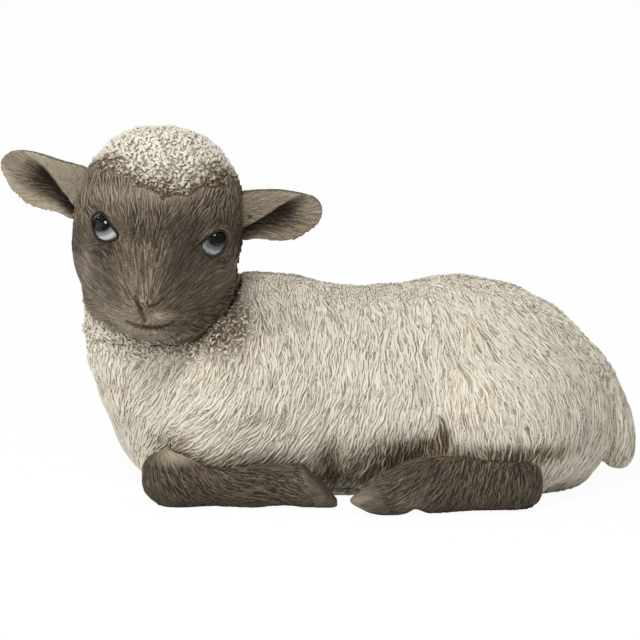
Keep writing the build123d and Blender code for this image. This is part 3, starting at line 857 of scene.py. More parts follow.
# wool of body and tail
bodyComb = combFrom(
    [  # place on the near side, and the way the locks lie there
        ((-135, 0, 60), (-0.1, 0.0, -1)),
        ((-130, -25, 40), (-0.35, -0.2, -0.9)),
        ((-122, -30, 62), (-0.35, -0.2, -0.9)),
        ((-95, -48, 72), (-0.6, -0.1, -0.8)),
        ((-65, -62, 92), (-0.35, -0.1, -0.92)),
        ((-36, -66, 78), (-0.08, 0, -1)),
        ((-18, -55, 104), (0.05, 0, -1)),
        ((-59, -70, 42), (-0.72, 0, -0.66)),
        ((-12, -62, 37), (-0.42, 0, -0.9)),
        ((-89, -55, 37), (-0.85, 0, -0.5)),
        ((-45, -70, 30), (-0.8, 0, -0.55)),
        ((30, -58, 98), (0.0, 0, -1)),
        ((30, -62, 62), (-0.08, 0, -1)),
        ((36, -60, 28), (-0.45, 0, -0.9)),
        ((12, -60, 25), (-0.25, 0, -0.97)),
        ((65, -60, 86), (0.05, 0, -1)),
        ((60, -66, 45), (-0.3, 0, -0.95)),
        ((95, -35, 118), (0.35, -0.3, -0.8)),
        ((89, -60, 98), (0.5, 0, -0.87)),
        ((107, -74, 74), (0.5, 0, -0.87)),
        ((83, -72, 58), (0.35, 0, -0.93)),
        ((131, -50, 98), (0.5, -0.1, -0.87)),
        ((143, -55, 74), (0.3, 0, -0.95)),
        ((160, -35, 62), (0.12, 0, -1)),
        ((143, -60, 37), (-0.25, 0, -0.97)),
        ((113, -70, 40), (0.2, 0, -0.98)),
        ((160, -30, 25), (-0.5, 0, -0.85)),
        ((172, 0, 60), (0.1, 0, -1)),
        ((-20, -12, 122), (0.2, -1, -0.1)),
        ((30, -12, 118), (0.1, -1, -0.1)),
        ((80, -12, 122), (0.3, -1, -0.1)),
        ((125, -8, 112), (0.7, -0.6, -0.3)),
        ((155, -5, 95), (0.6, -0.2, -0.8)),
    ],
    20.0,
)
lockStyle = {
    "steps": 7,
    "phaseSize": 24,
    "phaseJitter": 0.5,
    "lean": 0.22,
    "leanSize": 30,
    "leanJitter": 0.05,
    "swing": 0.26,
    "curl": 0.18,
    "waveLength": 12.0,
    "girth": ((0, 0.2, 0.5, 0.8, 1), (0.4, 0.9, 1.0, 0.75, 0.2)),
    "rise": ((0, 0.15, 0.5, 0.85, 1), (-0.9, -0.05, 0.16, 0.14, -0.5)),
    "layer": 0.14,
}
nubStyle = {
    "steps": 5,
    "phaseSize": 9,
    "phaseJitter": 2.5,
    "lean": 0.7,
    "leanSize": 16,
    "leanJitter": 0.6,
    "swing": 0.9,
    "curl": 1.2,
    "waveLength": 6.5,
    "girth": ((0, 0.2, 0.6, 1), (0.5, 1.0, 1.0, 0.5)),
    "rise": ((0, 0.2, 0.6, 1), (-0.8, 0.25, 0.7, 0.55)),
    "layer": 0.3,
}
bodyWool = {
    "tries": 190000,
    "seed": 11,
    "growSeed": 40,
    "lengthSpread": (0.65, 1.35),
    "radiusSpread": (0.8, 1.2),
    "foot": 4.0,  # the wool starts this high
    "lowest": 1.1,
    "facingDown": -0.75,
    "spigot": 41.0,  # bare below the head, this far round the neck
    "neckBand": (97, 9, 60),  # height, half width and reach of the nubs at the joint
    "neckUneven": (16, 2),
    "nubs": [((-53, -40, 106), (15, 28, 24)), ((-98, -44, 97), (46, 24, 9))],
    "nubsFrom": 0.42,
    "curled": [((-50, 0, 118), (26, 60, 26)), ((-100, -46, 96), (45, 26, 12))],
    "spine": (20, 18),
    "spineHeight": 70,
    # sizes of the locks on the sides, what is added where they are short and curled, and what for the nubs
    "wide": (1.08, 0.3, -0.34),
    "long": (6.4, -3.8),
    "length": (15.5, -10.7, -1.1),
    "radius": (0.82, 0.1, -0.16),
    "crestLift": 1.2,
    "zones": {
        "woolShoulder": (-78, 4),
        "woolBelly": (4, 68),
        "woolHaunch": (68, 118),
        "woolRump": (118, math.inf),
    },
}
neckAxis = (-91.0, -6.0)


def aroundNeck(spots):
    return np.hypot(spots[:, 0] - neckAxis[0], spots[:, 1] - neckAxis[1])


def curlBand(spots):
    # 1 along the spine and neck, where the locks are short and curled, 0 down the sides
    near = 1 - ramp(np.abs(spots[:, 1]), *bodyWool["spine"])
    neck = sum(lump(spots, *place) for place in bodyWool["curled"])
    return np.clip(np.maximum(near * (spots[:, 2] > bodyWool["spineHeight"]), neck), 0, 1)


def neckNubs(spots):
    # where the body carries nubs like those of the collar, beside the head and along the joint
    beside = np.maximum(*(lump(spots, *place) for place in bodyWool["nubs"]))
    height, half, reach = bodyWool["neckBand"]
    size, uneven = bodyWool["neckUneven"]
    band = np.abs(spots[:, 2] - height + uneven * ripple(spots, size, 17)) < half
    return (beside > bodyWool["nubsFrom"]) | (band & (aroundNeck(spots) < reach))


def bodyKeep(spots, ups):
    shown = bodyOuter(spots, ups) & (spots[:, 2] > bodyWool["foot"]) & (ups[:, 2] > bodyWool["facingDown"])
    return shown & ~((spots[:, 2] > bodyWool["neckBand"][0]) & (aroundNeck(spots) < bodyWool["spigot"]))


def lockShares(spots):
    neck = neckNubs(spots)
    return np.where(neck, 1, curlBand(spots)), neck


def lockSpacing(spots):
    shares = lockShares(spots)
    return graded(bodyWool["wide"], *shares), graded(bodyWool["long"], *shares)


def lockSizes(spots):
    shares = lockShares(spots)
    return graded(bodyWool["length"], *shares), graded(bodyWool["radius"], *shares)


def woolZones(spots):
    # which locks belong to each piece of the wool
    x, near, neck = spots[:, 0], spots[:, 1] < 0, neckNubs(spots)
    zones = {"woolChest": (x < bodyWool["zones"]["woolShoulder"][0]) & ~neck}
    for name, (start, end) in bodyWool["zones"].items():
        band = (x >= start) & (x < end) & ~neck
        zones |= {name + "Near": band & near, name + "Far": band & ~near}
    return zones | {"woolNeck": neck}


def nubCrest(lift):
    return np.clip(0.22 + lift / 1.9, 0, 0.9)


def layBodyWool():
    coat = Coat(bodySkin, bodyComb, bodyWool, bodyKeep, lockSpacing, lockSizes)
    for name, chosen in woolZones(coat.spots).items():
        nubs = name == "woolNeck"
        style = nubStyle if nubs else lockStyle
        mesh, places, lift = coat.grow(bodyComb, style, chosen, bodyWool["lowest"])
        crest = nubCrest(lift) if nubs else ramp(lift, 0, bodyWool["crestLift"])
        store(mesh, crest=crest, shade=darkened(places, bodyWashAndShade + tailDarkening))
        addPiece(name, mesh, woolMat)
        print(name, chosen.sum(), "locks", len(mesh.polygons), "faces")


for mesh, name, nodeName, darkening in (
    (bodyMesh, "bodySkin", "torso_casting", bodyWashAndShade),
    (tailMesh, "tailSkin", "tail", bodyWashAndShade + tailDarkening),
):
    storeFlow(mesh, bodyComb)
    store(mesh, shade=darkened(meshArrays(mesh)[0], darkening))
    addPiece(name, mesh, woolSkinMat, nodeName)
layBodyWool()


# openings of the eyes
eyeRadius = 10.0
socketCentre = (33.0, 22.0, 31.0)  # of the left eye in the casting; the right one is mirrored
eyeSet = {
    "right": {
        "centre": (-30.1, 21.1, 31.9),
        "widened": 1.0,
        "corner": 20,
        "lid": [
            (-8.6, 4.7, -5.3), (-6.4, 6.0, -6.4), (-4.0, 9.8, -2.3), (-0.8, 10.5, 2.5),
            (2.7, 8.2, 6.4), (6.7, 2.8, 8.0), (3.7, 1.0, 10.1), (-0.9, -0.3, 10.8),
            (-5.3, 0.5, 9.4), (-8.2, 3.5, 6.1), (-9.5, 5.0, 1.1),
        ],
    },
    "left": {
        "centre": (33.7, 21.4, 31.6),
        "widened": 1.12,
        "corner": 0,
        "lid": [
            (-8.8, -0.2, 6.3), (-7.0, 5.2, 6.3), (-4.7, 8.0, 5.6), (-1.4, 10.0, 3.8),
            (2.1, 10.3, 2.3), (4.6, 9.2, 3.3), (5.6, 7.2, 5.8), (4.7, 3.6, 9.0),
            (2.5, 0.0, 10.5), (-0.6, -2.2, 10.6), (-4.5, -2.1, 9.6), (-7.3, -1.9, 7.7),
        ],
    },
}


def smoothRing(points, parts):
    # a closed curve through the points, with several steps between each two
    rows = []
    count = len(points)
    for i in range(count):
        a, b, c, d = (points[(i + k) % count] for k in (-1, 0, 1, 2))
        slope, bend, twist = c - a, 2 * a - 5 * b + 4 * c - d, 3 * b - a - 3 * c + d
        for part in range(parts):
            t = part / parts
            rows.append(0.5 * (2 * b + slope * t + bend * t**2 + twist * t**3))
    return np.array(rows)


class Opening:
    # the gap between the lids of one eye, on a ball round its centre
    def __init__(self, facts):
        self.centre = np.array(facts["centre"])
        ways = unit(smoothRing(np.array(facts["lid"]), 4))
        middle = ways.mean(0)
        self.ways = unit(middle + (ways - middle) * facts["widened"])
        self.corner = self.ways[facts["corner"]]
        self.middle = unit(middle)
        self.across = unit(np.cross((0.0, 1.0, 0.0), self.middle))
        self.up = np.cross(self.middle, self.across)
        self.outline = self.spread(self.ways)

    def spread(self, ways):
        # directions laid out flat, in millimetres on the ball
        angle = np.arccos(np.clip(ways @ self.middle, -1, 1))
        return unit(np.stack((ways @ self.across, ways @ self.up), 1)) * angle[:, None] * eyeRadius

    def reach(self, local):
        return np.linalg.norm(local - self.centre, axis=1)

    def gap(self, local):
        # signed distance from the lid's edge, negative in the opening
        flat = self.spread(unit(local - self.centre))
        ring = np.vstack((self.outline, self.outline[:1]))
        edge = lineGap(flat, ring)
        inside = np.zeros(len(flat), bool)
        for (x0, y0), (x1, y1) in zip(ring[:-1], ring[1:]):
            crosses = (y0 > flat[:, 1]) != (y1 > flat[:, 1])
            inside ^= crosses & (flat[:, 0] < (x1 - x0) * (flat[:, 1] - y0) / (y1 - y0 + 1e-12) + x0)
        return np.where(inside, -edge, edge)


openings = {sideName: Opening(facts) for sideName, facts in eyeSet.items()}

# skin of the head
headSkinSet = {
    "voxel": 1.25,
    "socketFill": 0.4,
    "smoothing": 10,
    "hem": 97.5,  # height of the lower edge
    "nape": 150,  # height below which the neck's own middle counts
    "neckMiddle": (-93, -10),
    "fineFrom": 58,
    "fineRound": 17,
    "eyesFrom": 20,
    "muzzleFrom": 55,
    "faceSink": 0.5,
    "woolSink": 2.4,
    "sinkWidth": 6,
    "bothSides": [  # centre on the left, radii, lift
        ((30, 36, 24), (13, 6, 9), 1.8),  # brow
        ((20, 22, 49), (6, 7, 8), -1.6),  # hollow beside the bridge
        ((36, 4, 40), (12, 8, 12), 0.8),  # cheekbone
        ((19, 3, 66), (6, 9, 9), -1.2),  # side of the muzzle
        ((9, -1.5, 78), (7, 4.5, 8), 1.0),  # upper lip
        ((47, 12, 10), (12, 18, 20), -2.6),  # narrow temples
    ],
    "middle": [
        ((-0.5, 9.5, 75), (8, 5, 8), 1.6),  # end of the nose
        ((2, -12.5, 79), (11, 4, 8), 1.4),  # chin
    ],
    "muzzle": [  # in the front plane: place, radii, lift
        ((-7, -45), (5, 4), 1.2),
        ((3, -55), (7, 3), 0.9),
        ((-15, -55), (5, 4), 0.8),
        ((-2, -65.5), (10, 2.2), 0.9),
    ],
}
muzzleLines = {  # in the front plane: points, width, depth, darkness
    "nostrilRight": (((-12.2, -44.4), (-11.2, -47.5), (-9.0, -51.7)), 1.0, 2.0, 0.9),
    "nostrilLeft": (((4.3, -46.0), (0.5, -48.8), (-3.6, -50.0)), 1.3, 1.7, 0.75),
    "philtrum": (((-9.0, -51.7), (-7.5, -55.5), (-6.2, -58.6)), 0.8, 1.3, 0.75),
    "mouth": (
        ((-17.3, -59.0), (-11.9, -61.2), (-6, -62.4), (0.5, -62.3), (5.9, -60.9), (10.5, -58.6)),
        0.9,
        2.4,
        1.0,
    ),
}
lidSet = {  # distances from the centre of the eye, and widths along its ball
    "reach": 20,
    "behind": -2,
    "sunk": 9.0,  # the skin behind the opening
    "least": 10.7,
    "rim": 10.5,
    "fold": 1.5,
    "foldWidth": 1.3,
    "hug": 6.5,
}


def headAxis(spots):
    axis = np.empty_like(spots)
    neck = spots[:, 2] < headSkinSet["nape"]
    for i in (0, 1):
        axis[:, i] = np.where(neck, headSkinSet["neckMiddle"][i], headCentre[i])
    axis[:, 2] = np.minimum(spots[:, 2], headCentre[2])
    return axis


def headOuter(spots, normals):
    return outerSide(spots, normals, headAxis(spots)) & (spots[:, 2] > headSkinSet["hem"])


def muzzleGap(local, line):
    return np.where(local[:, 2] > headSkinSet["muzzleFrom"], lineGap(frontPlane(local), line), np.inf)


def headForm():
    # the casting's copy with filled sockets, evened out, and finer where eyes, nose and mouth are carved
    x, y, z = socketCentre
    sockets = [(fromHead((side * x, y, z)), eyeRadius + headSkinSet["socketFill"]) for side in (-1, 1)]
    mesh = remeshedCopy("head_casting", headSkinSet["voxel"], sockets)
    softened(mesh, headSkinSet["smoothing"], headOuter(*meshArrays(mesh)))
    spots, normals = meshArrays(mesh)
    local = toHead(spots)
    fine = local[:, 2] > headSkinSet["fineFrom"]
    for opening in openings.values():
        aboutEye = opening.reach(local) < headSkinSet["fineRound"]
        fine |= aboutEye & (local[:, 2] > headSkinSet["eyesFrom"])
    finer(mesh, fine & headOuter(spots, normals))
    return mesh


def carveHead(mesh):
    spots, normals = meshArrays(mesh)
    outer = headOuter(spots, normals)
    local = toHead(spots)
    face, wide = faceDepth(local), headSkinSet["sinkWidth"]
    push = -headSkinSet["faceSink"] * ramp(face, 0, wide) - headSkinSet["woolSink"] * ramp(face, 0, -wide)
    for side in (-1, 1):
        for (x, y, z), radii, lift in headSkinSet["bothSides"]:
            push += lift * lump(local, (side * x, y, z), radii)
    for centre, radii, lift in headSkinSet["middle"]:
        push += lift * lump(local, centre, radii)
    for line, wide, deep, _ in muzzleLines.values():
        push -= deep * hump(muzzleGap(local, line), wide)
    push += spotsOf(local, headSkinSet["muzzle"])
    push[~outer] = 0
    spots = spots + normals * push[:, None]
    writeSpots(mesh, spots)
    carveLids(mesh, toHead(spots), outer)


def carveLids(mesh, local, outer):
    # the skin drawn onto each eye: lids just outside the ball, and an opening sunk behind its surface
    for opening in openings.values():
        gap, reach = opening.gap(local), opening.reach(local)
        away = local - opening.centre
        near = (reach < lidSet["reach"]) & outer & (away @ opening.middle > lidSet["behind"])
        hug = np.clip(1 - gap / lidSet["hug"], 0, 1)
        hug = hug * hug * (3 - 2 * hug)
        target = lidSet["rim"] + lidSet["fold"] * (1 - np.exp(-np.maximum(gap, 0) / lidSet["foldWidth"]))
        lid = np.maximum(reach + (target - reach) * hug, lidSet["least"])
        drawn = np.where(gap < 0, np.minimum(reach, lidSet["sunk"]), lid)
        moved = opening.centre + away * (drawn / np.maximum(reach, tiny))[:, None]
        local[near] = moved[near]
    writeSpots(mesh, fromHead(local))


headMesh = headForm()
print("head skin has", len(headMesh.vertices), "points")
carveHead(headMesh)
headSkin = Skin(headMesh)

# tones of the head
# dark places of the face: its darker paint, and painted shade on the side away from the lamp and beside the
# bridge
faceDark = [  # partly painted shade; in the front plane: place, radii, strength
    ((26.7, -38), (15, 21), 0.22),
    ((-23.8, -23), (8, 13), 0.3),
    ((11, -27), (8, 13), 0.35),
    ((27, -23), (11, 6), 0.35),
    ((-20.8, -48.8), (6, 7), 0.18),
    ((10.6, -50.5), (7, 9), 0.3),
    ((-37, -26), (6, 13), 0.35),
    ((-34, -8), (5, 7), 0.15),
    ((14, -20), (12, 17), 0.3),
    ((28, -20), (9, 18), 0.25),
    ((-29, -24), (6, 11), 0.3),
    ((-33, -36), (9, 9), 0.22),
    ((-27, -47), (7, 6), 0.16),
    ((-3, -20), (7, 10), 0.2),
    ((9, -34), (7, 9), 0.25),
    ((16, -5), (9, 13), 0.42),
    ((3, -43), (5, 7), 0.4),
    ((-15, 6), (4, 7), 0.22),
    ((34, 3), (7, 8), 0.25),
]
facePale = [
    ((-14, 17), (34, 6), 0.16),
    ((2, 10), (20, 9), 0.05),
    ((-13, -36), (5, 7), 0.08),
    # a painted highlight on the end of the nose
    ((-8, -46.4), (0.9, 0.9), 0.5),
    ((1.7, -56.2), (9, 3.6), 0.3),
    ((-3, -65.0), (11, 1.3), 0.16),
    ((0, -69.5), (15, 4), 0.2),
    ((-17, -54), (6, 6), 0.16),
    ((-41.5, -22), (4, 18), 0.1),
    ((-16, -62), (8, 3.5), 0.25),
    ((-28, 3), (6, 7), 0.08),
    ((-34, -56), (8, 7), 0.2),
    ((-20, 0), (5, 20), 0.05),
]


headTones = {
    "across": (-20, 50),  # from the right jaw to the left one, where the wash and painted shade are strongest
    "jaw": (-172, -8),  # angles about the muzzle
    "jawReach": (9, 8),
    "browReach": (12, 3),
    "jawStrength": (0.32, 0.6),
    "browStrength": (0.66, 0.3),
    "fade": 1.4,
    "hem": (97, 14),
    "hemStrength": (0.3, 0.3),
    "lidStrength": 0.8,
    "lidWidth": 1.3,
    "lidReach": 17,
    "cornerPale": 0.35,
    "cornerOut": 11,
    "cornerRadii": (1.8, 1.8, 2.4),
    "browPale": 0.08,
    "browPaleWidth": 4,
    "hairWidth": 3,
}


def woolWashAndShade(spots):
    # brown wash in the wool near the face; under the jaw, strongest on the far side, it is also painted shade
    local = toHead(spots)
    angle = aboutMuzzle(local)
    start, end = headTones["jaw"]
    jaw = (angle > start) & (angle < end)
    across = ramp(frontPlane(local)[:, 0], *headTones["across"])
    reach, strength = (
        np.where(jaw, graded(headTones["jaw" + kind], across), graded(headTones["brow" + kind], across))
        for kind in ("Reach", "Strength")
    )
    wool = strength * np.exp(-((np.maximum(-faceDepth(local), 0) / reach) ** headTones["fade"]))
    height, wide = headTones["hem"]
    return np.maximum(wool, graded(headTones["hemStrength"], across) * hump(spots[:, 2] - height, wide))


def headShade(spots):
    # the wash of the wool with its painted shade, and the dark places of the face, partly painted shade
    local = toHead(spots)
    dark = spotsOf(local, faceDark)
    for opening in openings.values():
        line = headTones["lidStrength"] * np.exp(-np.maximum(opening.gap(local), 0) / headTones["lidWidth"])
        dark = np.maximum(dark, np.where(opening.reach(local) < headTones["lidReach"], line, 0))
    for line, wide, _, strength in muzzleLines.values():
        dark = np.maximum(dark, strength * hump(muzzleGap(local, line), wide))
    return np.where(faceDepth(local) > 0, dark, woolWashAndShade(spots))


def headPale(spots):
    # the dry-brushed places of the face with a painted highlight on the nose,
    # the inner corners of the eyes and the hair's edge on the brow
    local = toHead(spots)
    pale = spotsOf(local, facePale)
    for opening in openings.values():
        corner = opening.centre + opening.corner * headTones["cornerOut"]
        pale += headTones["cornerPale"] * lump(local, corner, headTones["cornerRadii"])
    depth = faceDepth(local)
    edge = headTones["browPale"] * hump(depth - 1, headTones["browPaleWidth"]) * (local[:, 1] > 0)
    return np.clip(pale + edge, 0, 1) * (depth > 0)


def paintHead(mesh, spots, crest):
    hair = np.clip(faceDepth(toHead(spots)) / headTones["hairWidth"] + 0.5, 0, 1)
    store(mesh, crest=crest, shade=headShade(spots), pale=headPale(spots), hair=hair)


# wool of crown, collar and the joint below it
crownWool = {
    "tries": 90000,
    "seed": 21,
    "growSeed": 60,
    "lengthSpread": (0.7, 1.35),
    "radiusSpread": (0.7, 1.3),
    "crownFrom": (-5, 20),
    "edgeUneven": (7, 1.8),
    "edge": 0.5,  # how far onto the face the first nubs lie
    "least": 0.55,  # size of the nubs at the face
    "growing": 14,
    "wide": 1.15,
    "long": (2.1, 1.2),  # on the crown, and what the collar adds
    "length": (3.6, 2.6),
    "radius": (0.6, 0.4),  # and what full size adds
    "crest": (0.24, 2.4, 0.8),  # at the skin, lift for a full one, and the most
}
seamWool = {
    "tries": 160000,
    "seed": 26,
    "growSeed": 66,
    "lengthSpread": (0.7, 1.3),
    "radiusSpread": (0.75, 1.2),
    "ring": (30, 50),
    "height": 98,
    "half": 4.5,
    "steepest": 0.8,
    "fromFace": 1.5,
    "wide": 0.9,
    "long": 2.6,
    "length": 4.6,
    "radius": 0.85,
}
straightDown = np.array((0.0, 0.0, -1.0))


def crownShare(spots):
    # 1 on the crown, 0 on the collar
    return ramp(toHead(spots)[:, 1], *crownWool["crownFrom"])


def collarComb(spots, ups):
    # back from the face over the crown, down and outwards round the neck
    crown = crownShare(spots)[:, None]
    back = -headTurn[2] * 0.8 + headTurn[1] * 0.2
    return back * crown + straightDown * (1 - crown)


def crownKeep(spots, ups):
    size, uneven = crownWool["edgeUneven"]
    edge = crownWool["edge"] + uneven * ripple(spots, size, 14)
    return headOuter(spots, ups) & (faceDepth(toHead(spots)) < edge)


def crownSpacing(spots):
    return crownWool["wide"], graded(crownWool["long"], 1 - crownShare(spots))


def crownSizes(spots):
    # smaller at the face
    least = crownWool["least"]
    full = np.clip(least - faceDepth(toHead(spots)) / crownWool["growing"], least, 1)
    return graded(crownWool["length"], 1 - crownShare(spots)) * full, graded(crownWool["radius"], full)


def layCollar():
    coat = Coat(headSkin, collarComb, crownWool, crownKeep, crownSpacing, crownSizes)
    onCrown = crownShare(coat.spots) > 0.5
    start, full, most = crownWool["crest"]
    for name, chosen in (("crownWool", onCrown), ("collarWool", ~onCrown)):
        mesh, places, lift = coat.grow(collarComb, nubStyle, chosen)
        store(mesh, crest=np.clip(start + lift / full, 0, most), shade=woolWashAndShade(places))
        addPiece(name, mesh, woolMat)
        print(name, chosen.sum(), "nubs", len(mesh.polygons), "faces")


def seamKeep(spots, ups):
    away = spots[:, :2] - np.array(neckAxis)
    outwards = (away * ups[:, :2]).sum(1) > 0
    reach = aroundNeck(spots)
    inner, outer = seamWool["ring"]
    band = np.abs(spots[:, 2] - seamWool["height"] + ripple(spots, 12, 19)) < seamWool["half"]
    ring = (reach > inner) & (reach < outer) & band
    upright = np.abs(ups[:, 2]) < seamWool["steepest"]
    return ring & outwards & upright & (faceDepth(toHead(spots)) < -seamWool["fromFace"])


def layNeckSeam():
    # nubs that hang over the joint of the two castings, grown on both skins
    def downComb(spots, ups):
        return np.tile(straightDown, (len(spots), 1))

    def spacing(spots):
        return seamWool["wide"], seamWool["long"]

    def sizes(spots):
        return seamWool["length"], seamWool["radius"]

    coat = Coat(Skin(headMesh, bodyMesh), downComb, seamWool, seamKeep, spacing, sizes)
    mesh, places, lift = coat.grow(collarComb, nubStyle)
    store(mesh, crest=nubCrest(lift), shade=np.maximum(woolWashAndShade(places), darkened(places, bodyWashAndShade)))
    addPiece("seamWool", mesh, woolMat)
    print("seamWool", coat.count, "nubs", len(mesh.polygons), "faces")


layCollar()
layNeckSeam()

# hair of the face
hairStyle = {
    "steps": 6,
    "phaseSize": 20,
    "phaseJitter": 0.8,
    "lean": 0.22,
    "leanSize": 22,
    "leanJitter": 0.1,
    "swing": 0.16,
    "curl": 0.2,
    "waveLength": 9.0,
    "girth": ((0, 0.2, 0.5, 0.8, 1), (0.3, 0.9, 1.0, 0.7, 0.2)),
    "rise": ((0, 0.2, 0.6, 1), (-0.9, 0.0, 0.1, -0.4)),
    "layer": 0.15,
}
faceHair = {
    "tries": 140000,
    "seed": 31,
    "growSeed": 70,
    "lengthSpread": (0.75, 1.25),
    "radiusSpread": (0.85, 1.15),
    "root": (-1.0, 4.0, 84.0),  # on the nose, where the fan of hair starts
    "brow": (5, 25),
    "browSpread": (0.3, 1.1),  # right and left
    "browWay": (0.0, 0.9, -0.45),
    "browShare": 0.4,
    "parting": (12, 5, 1.2),  # distance, width and strength round the eyes
    "partingSide": (-2, 8),
    "noseBare": [((-4.5, -47.5), (8, 5.5), 1.0)],
    "edge": -2.0,
    "lidGap": 1.5,
    "lidReach": 16,
    "lineGap": 1.2,
    "lowest": -20,  # in the front plane; below it the streaks of the skin stand for the hair
    "lowestUneven": (8, 4),
    "muzzle": (55, 20),
    "wide": (1.12, -0.2),  # and what the end of the muzzle adds
    "long": (5.2, -2.4),
    "length": (10.0, -6.4),
    "radius": (0.43, -0.1),
    "worn": (0.22, 0.78),
    "wornBand": (-16, 22),
    "underBand": (-24, 22),
    "underDark": 0.34,
}


def faceComb(spots, ups):
    # the hair leaves the nose in a fan, up the forehead and back over the cheeks, and parts round the eyes
    local = toHead(spots)
    way = unit(local - np.array(faceHair["root"]))
    lift = ramp(local[:, 1], *faceHair["brow"])[:, None]
    right, left = faceHair["browSpread"]
    way[:, 0] *= 1 + np.where(local[:, 0] > 0, left, right) * lift[:, 0]
    lift = faceHair["browShare"] * lift
    way = way * (1 - lift) + np.array(faceHair["browWay"]) * lift
    distance, wide, strength = faceHair["parting"]
    for opening in openings.values():
        away = local - opening.centre
        outer = ramp(away[:, 0] * np.sign(opening.centre[0]), *faceHair["partingSide"])
        weight = (hump(opening.reach(local) - distance, wide) * outer)[:, None]
        way = way + unit(away) * weight * strength
    return way @ headTurn


def faceKeep(spots, ups):
    local = toHead(spots)
    shown = headOuter(spots, ups) & (faceDepth(local) > faceHair["edge"])
    for opening in openings.values():
        shown &= (opening.gap(local) >= faceHair["lidGap"]) | (opening.reach(local) >= faceHair["lidReach"])
    for line, *_ in muzzleLines.values():
        shown &= muzzleGap(local, line) > faceHair["lineGap"]
    size, uneven = faceHair["lowestUneven"]
    return shown & (frontPlane(local)[:, 1] > faceHair["lowest"] + uneven * ripple(local, size, 16))


def muzzleShare(spots):
    # 1 at the end of the muzzle, where the hair is finest
    return ramp(toHead(spots)[:, 2], *faceHair["muzzle"])


def faceSpacing(spots):
    close = muzzleShare(spots)
    return graded(faceHair["wide"], close), graded(faceHair["long"], close)


def faceSizes(spots):
    close = muzzleShare(spots)
    return graded(faceHair["length"], close), graded(faceHair["radius"], close)


def finishHeadSkin():
    # bare at the nose and the lids, and painted shade on the skin under the long hair of the brow
    storeFlow(headMesh, faceComb)
    spots, _ = meshArrays(headMesh)
    local = toHead(spots)
    bare = spotsOf(local, faceHair["noseBare"])
    for opening in openings.values():
        bare += hump(np.maximum(opening.gap(local), 0), 2.5) * (local[:, 2] > 0)
    high = ramp(frontPlane(local)[:, 1], *faceHair["underBand"])
    paintHead(headMesh, spots, -faceHair["underDark"] * np.clip(high - bare, 0, 1))
    addPiece("headSkin", headMesh, faceSkinMat, "head_casting")
    print("head skin carved")


def hairCrest(lift):
    return np.clip(0.25 + lift / 0.55, 0, 1)


def layFace():
    coat = Coat(headSkin, faceComb, faceHair, faceKeep, faceSpacing, faceSizes)
    right = toHead(coat.spots)[:, 0] < 0
    for name, chosen in (("faceHairRight", right), ("faceHairLeft", ~right)):
        mesh, places, lift = coat.grow(faceComb, hairStyle, chosen)
        worn = graded(faceHair["worn"], ramp(frontPlane(toHead(places))[:, 1], *faceHair["wornBand"]))
        paintHead(mesh, places, hairCrest(lift) * worn)
        addPiece(name, mesh, faceMat)
        print(name, chosen.sum(), "hairs", len(mesh.polygons), "faces")


finishHeadSkin()
layFace()

# eyes
eyePaintAndShade = {
    "pupil": (8, 8, 10),
    "iris": (56, 56, 59),
    # the left eye's iris edge and white are darker: painted shade under the brow
    "irisEdge": {"right": (134, 138, 137), "left": (94, 97, 98)},
    "white": {"right": (194, 198, 190), "left": (150, 155, 151)},
    # the black pupil is painted wide, so that it also stands in for the shadow of the upper lid
    "pupilRadius": 5.8,
    "irisRadius": 8.8,
    "gaze": {"right": (-0.42, 0.86, 0.33), "left": (-0.03, 0.885, 0.47)},
}
lidPaint = {"dark": (22, 17, 13), "worn": (44, 35, 28)}
rimSet = {"out": 10.75, "radius": 0.8, "roundness": 2}
domeSet = {
    "past": 1.3,  # how far the edge goes under the lids
    "air": 0.35,
    "wall": 0.25,
}


def eyeMaterial(sideName):
    # pupil, iris and white, by the distance from the middle of the pupil;
    # the left eye is painted darker as shade under the brow
    mix = Recipe("eyePaintAndShade" + sideName.capitalize())
    pupil, iris = eyePaintAndShade["pupilRadius"], eyePaintAndShade["irisRadius"]
    far = mix.stored("fromPupil") + (mix.noise(700.0, 2.0) - 0.5) * 0.5
    edge = mix.span(far, pupil - 0.5, pupil + 0.9)
    colour = mix.blend(edge, paint(*eyePaintAndShade["pupil"]), paint(*eyePaintAndShade["iris"]))
    colour = mix.blend(mix.span(far, pupil, iris), colour, paint(*eyePaintAndShade["irisEdge"][sideName]))
    colour = mix.blend(mix.span(far, iris, iris + 1.2), colour, paint(*eyePaintAndShade["white"][sideName]))
    return mix.surface(
        Base_Color=colour, Roughness=0.5, Specular_IOR_Level=0.0, Coat_Weight=0.4, Coat_Roughness=0.02
    )


def lidMaterial():
    mix = Recipe("lidPaint")
    grain = mix.noise(800.0, 2.0)
    colour = mix.blend(grain, paint(*lidPaint["dark"]), paint(*lidPaint["worn"]))
    normal = mix.bump(grain, 0.2, 0.0002)
    return mix.surface(Base_Color=colour, Roughness=0.55, Normal=normal, Specular_IOR_Level=0.2)


def domeMaterial():
    mix = Recipe("clearDome")
    return mix.surface(Base_Color=white, Roughness=0.0, Transmission_Weight=1.0, IOR=1.3, Alpha=0.04)


def sphere(radius, centre, around, rings):
    ball = bmesh.new()
    place = Matrix.Translation(Vector(centre) * mm)
    bmesh.ops.create_uvsphere(ball, u_segments=around, v_segments=rings, radius=radius * mm, matrix=place)
    mesh = bpy.data.meshes.new("sphere")
    ball.to_mesh(mesh)
    ball.free()
    return mesh


def eyeBall(sideName, opening):
    mesh = sphere(eyeRadius, fromHead(opening.centre), 72, 48)
    gaze = unit(np.array(eyePaintAndShade["gaze"][sideName]))
    ways = (toHead(meshArrays(mesh)[0]) - opening.centre) / eyeRadius
    store(mesh, fromPupil=np.arccos(np.clip(ways @ gaze, -1, 1)) * eyeRadius)
    return mesh


def lidRim(opening):
    line = fromHead(opening.centre + opening.ways * rimSet["out"])[None]
    return tubes(line, np.full(line.shape[:2], rimSet["radius"]), rimSet["roundness"], closed=True)


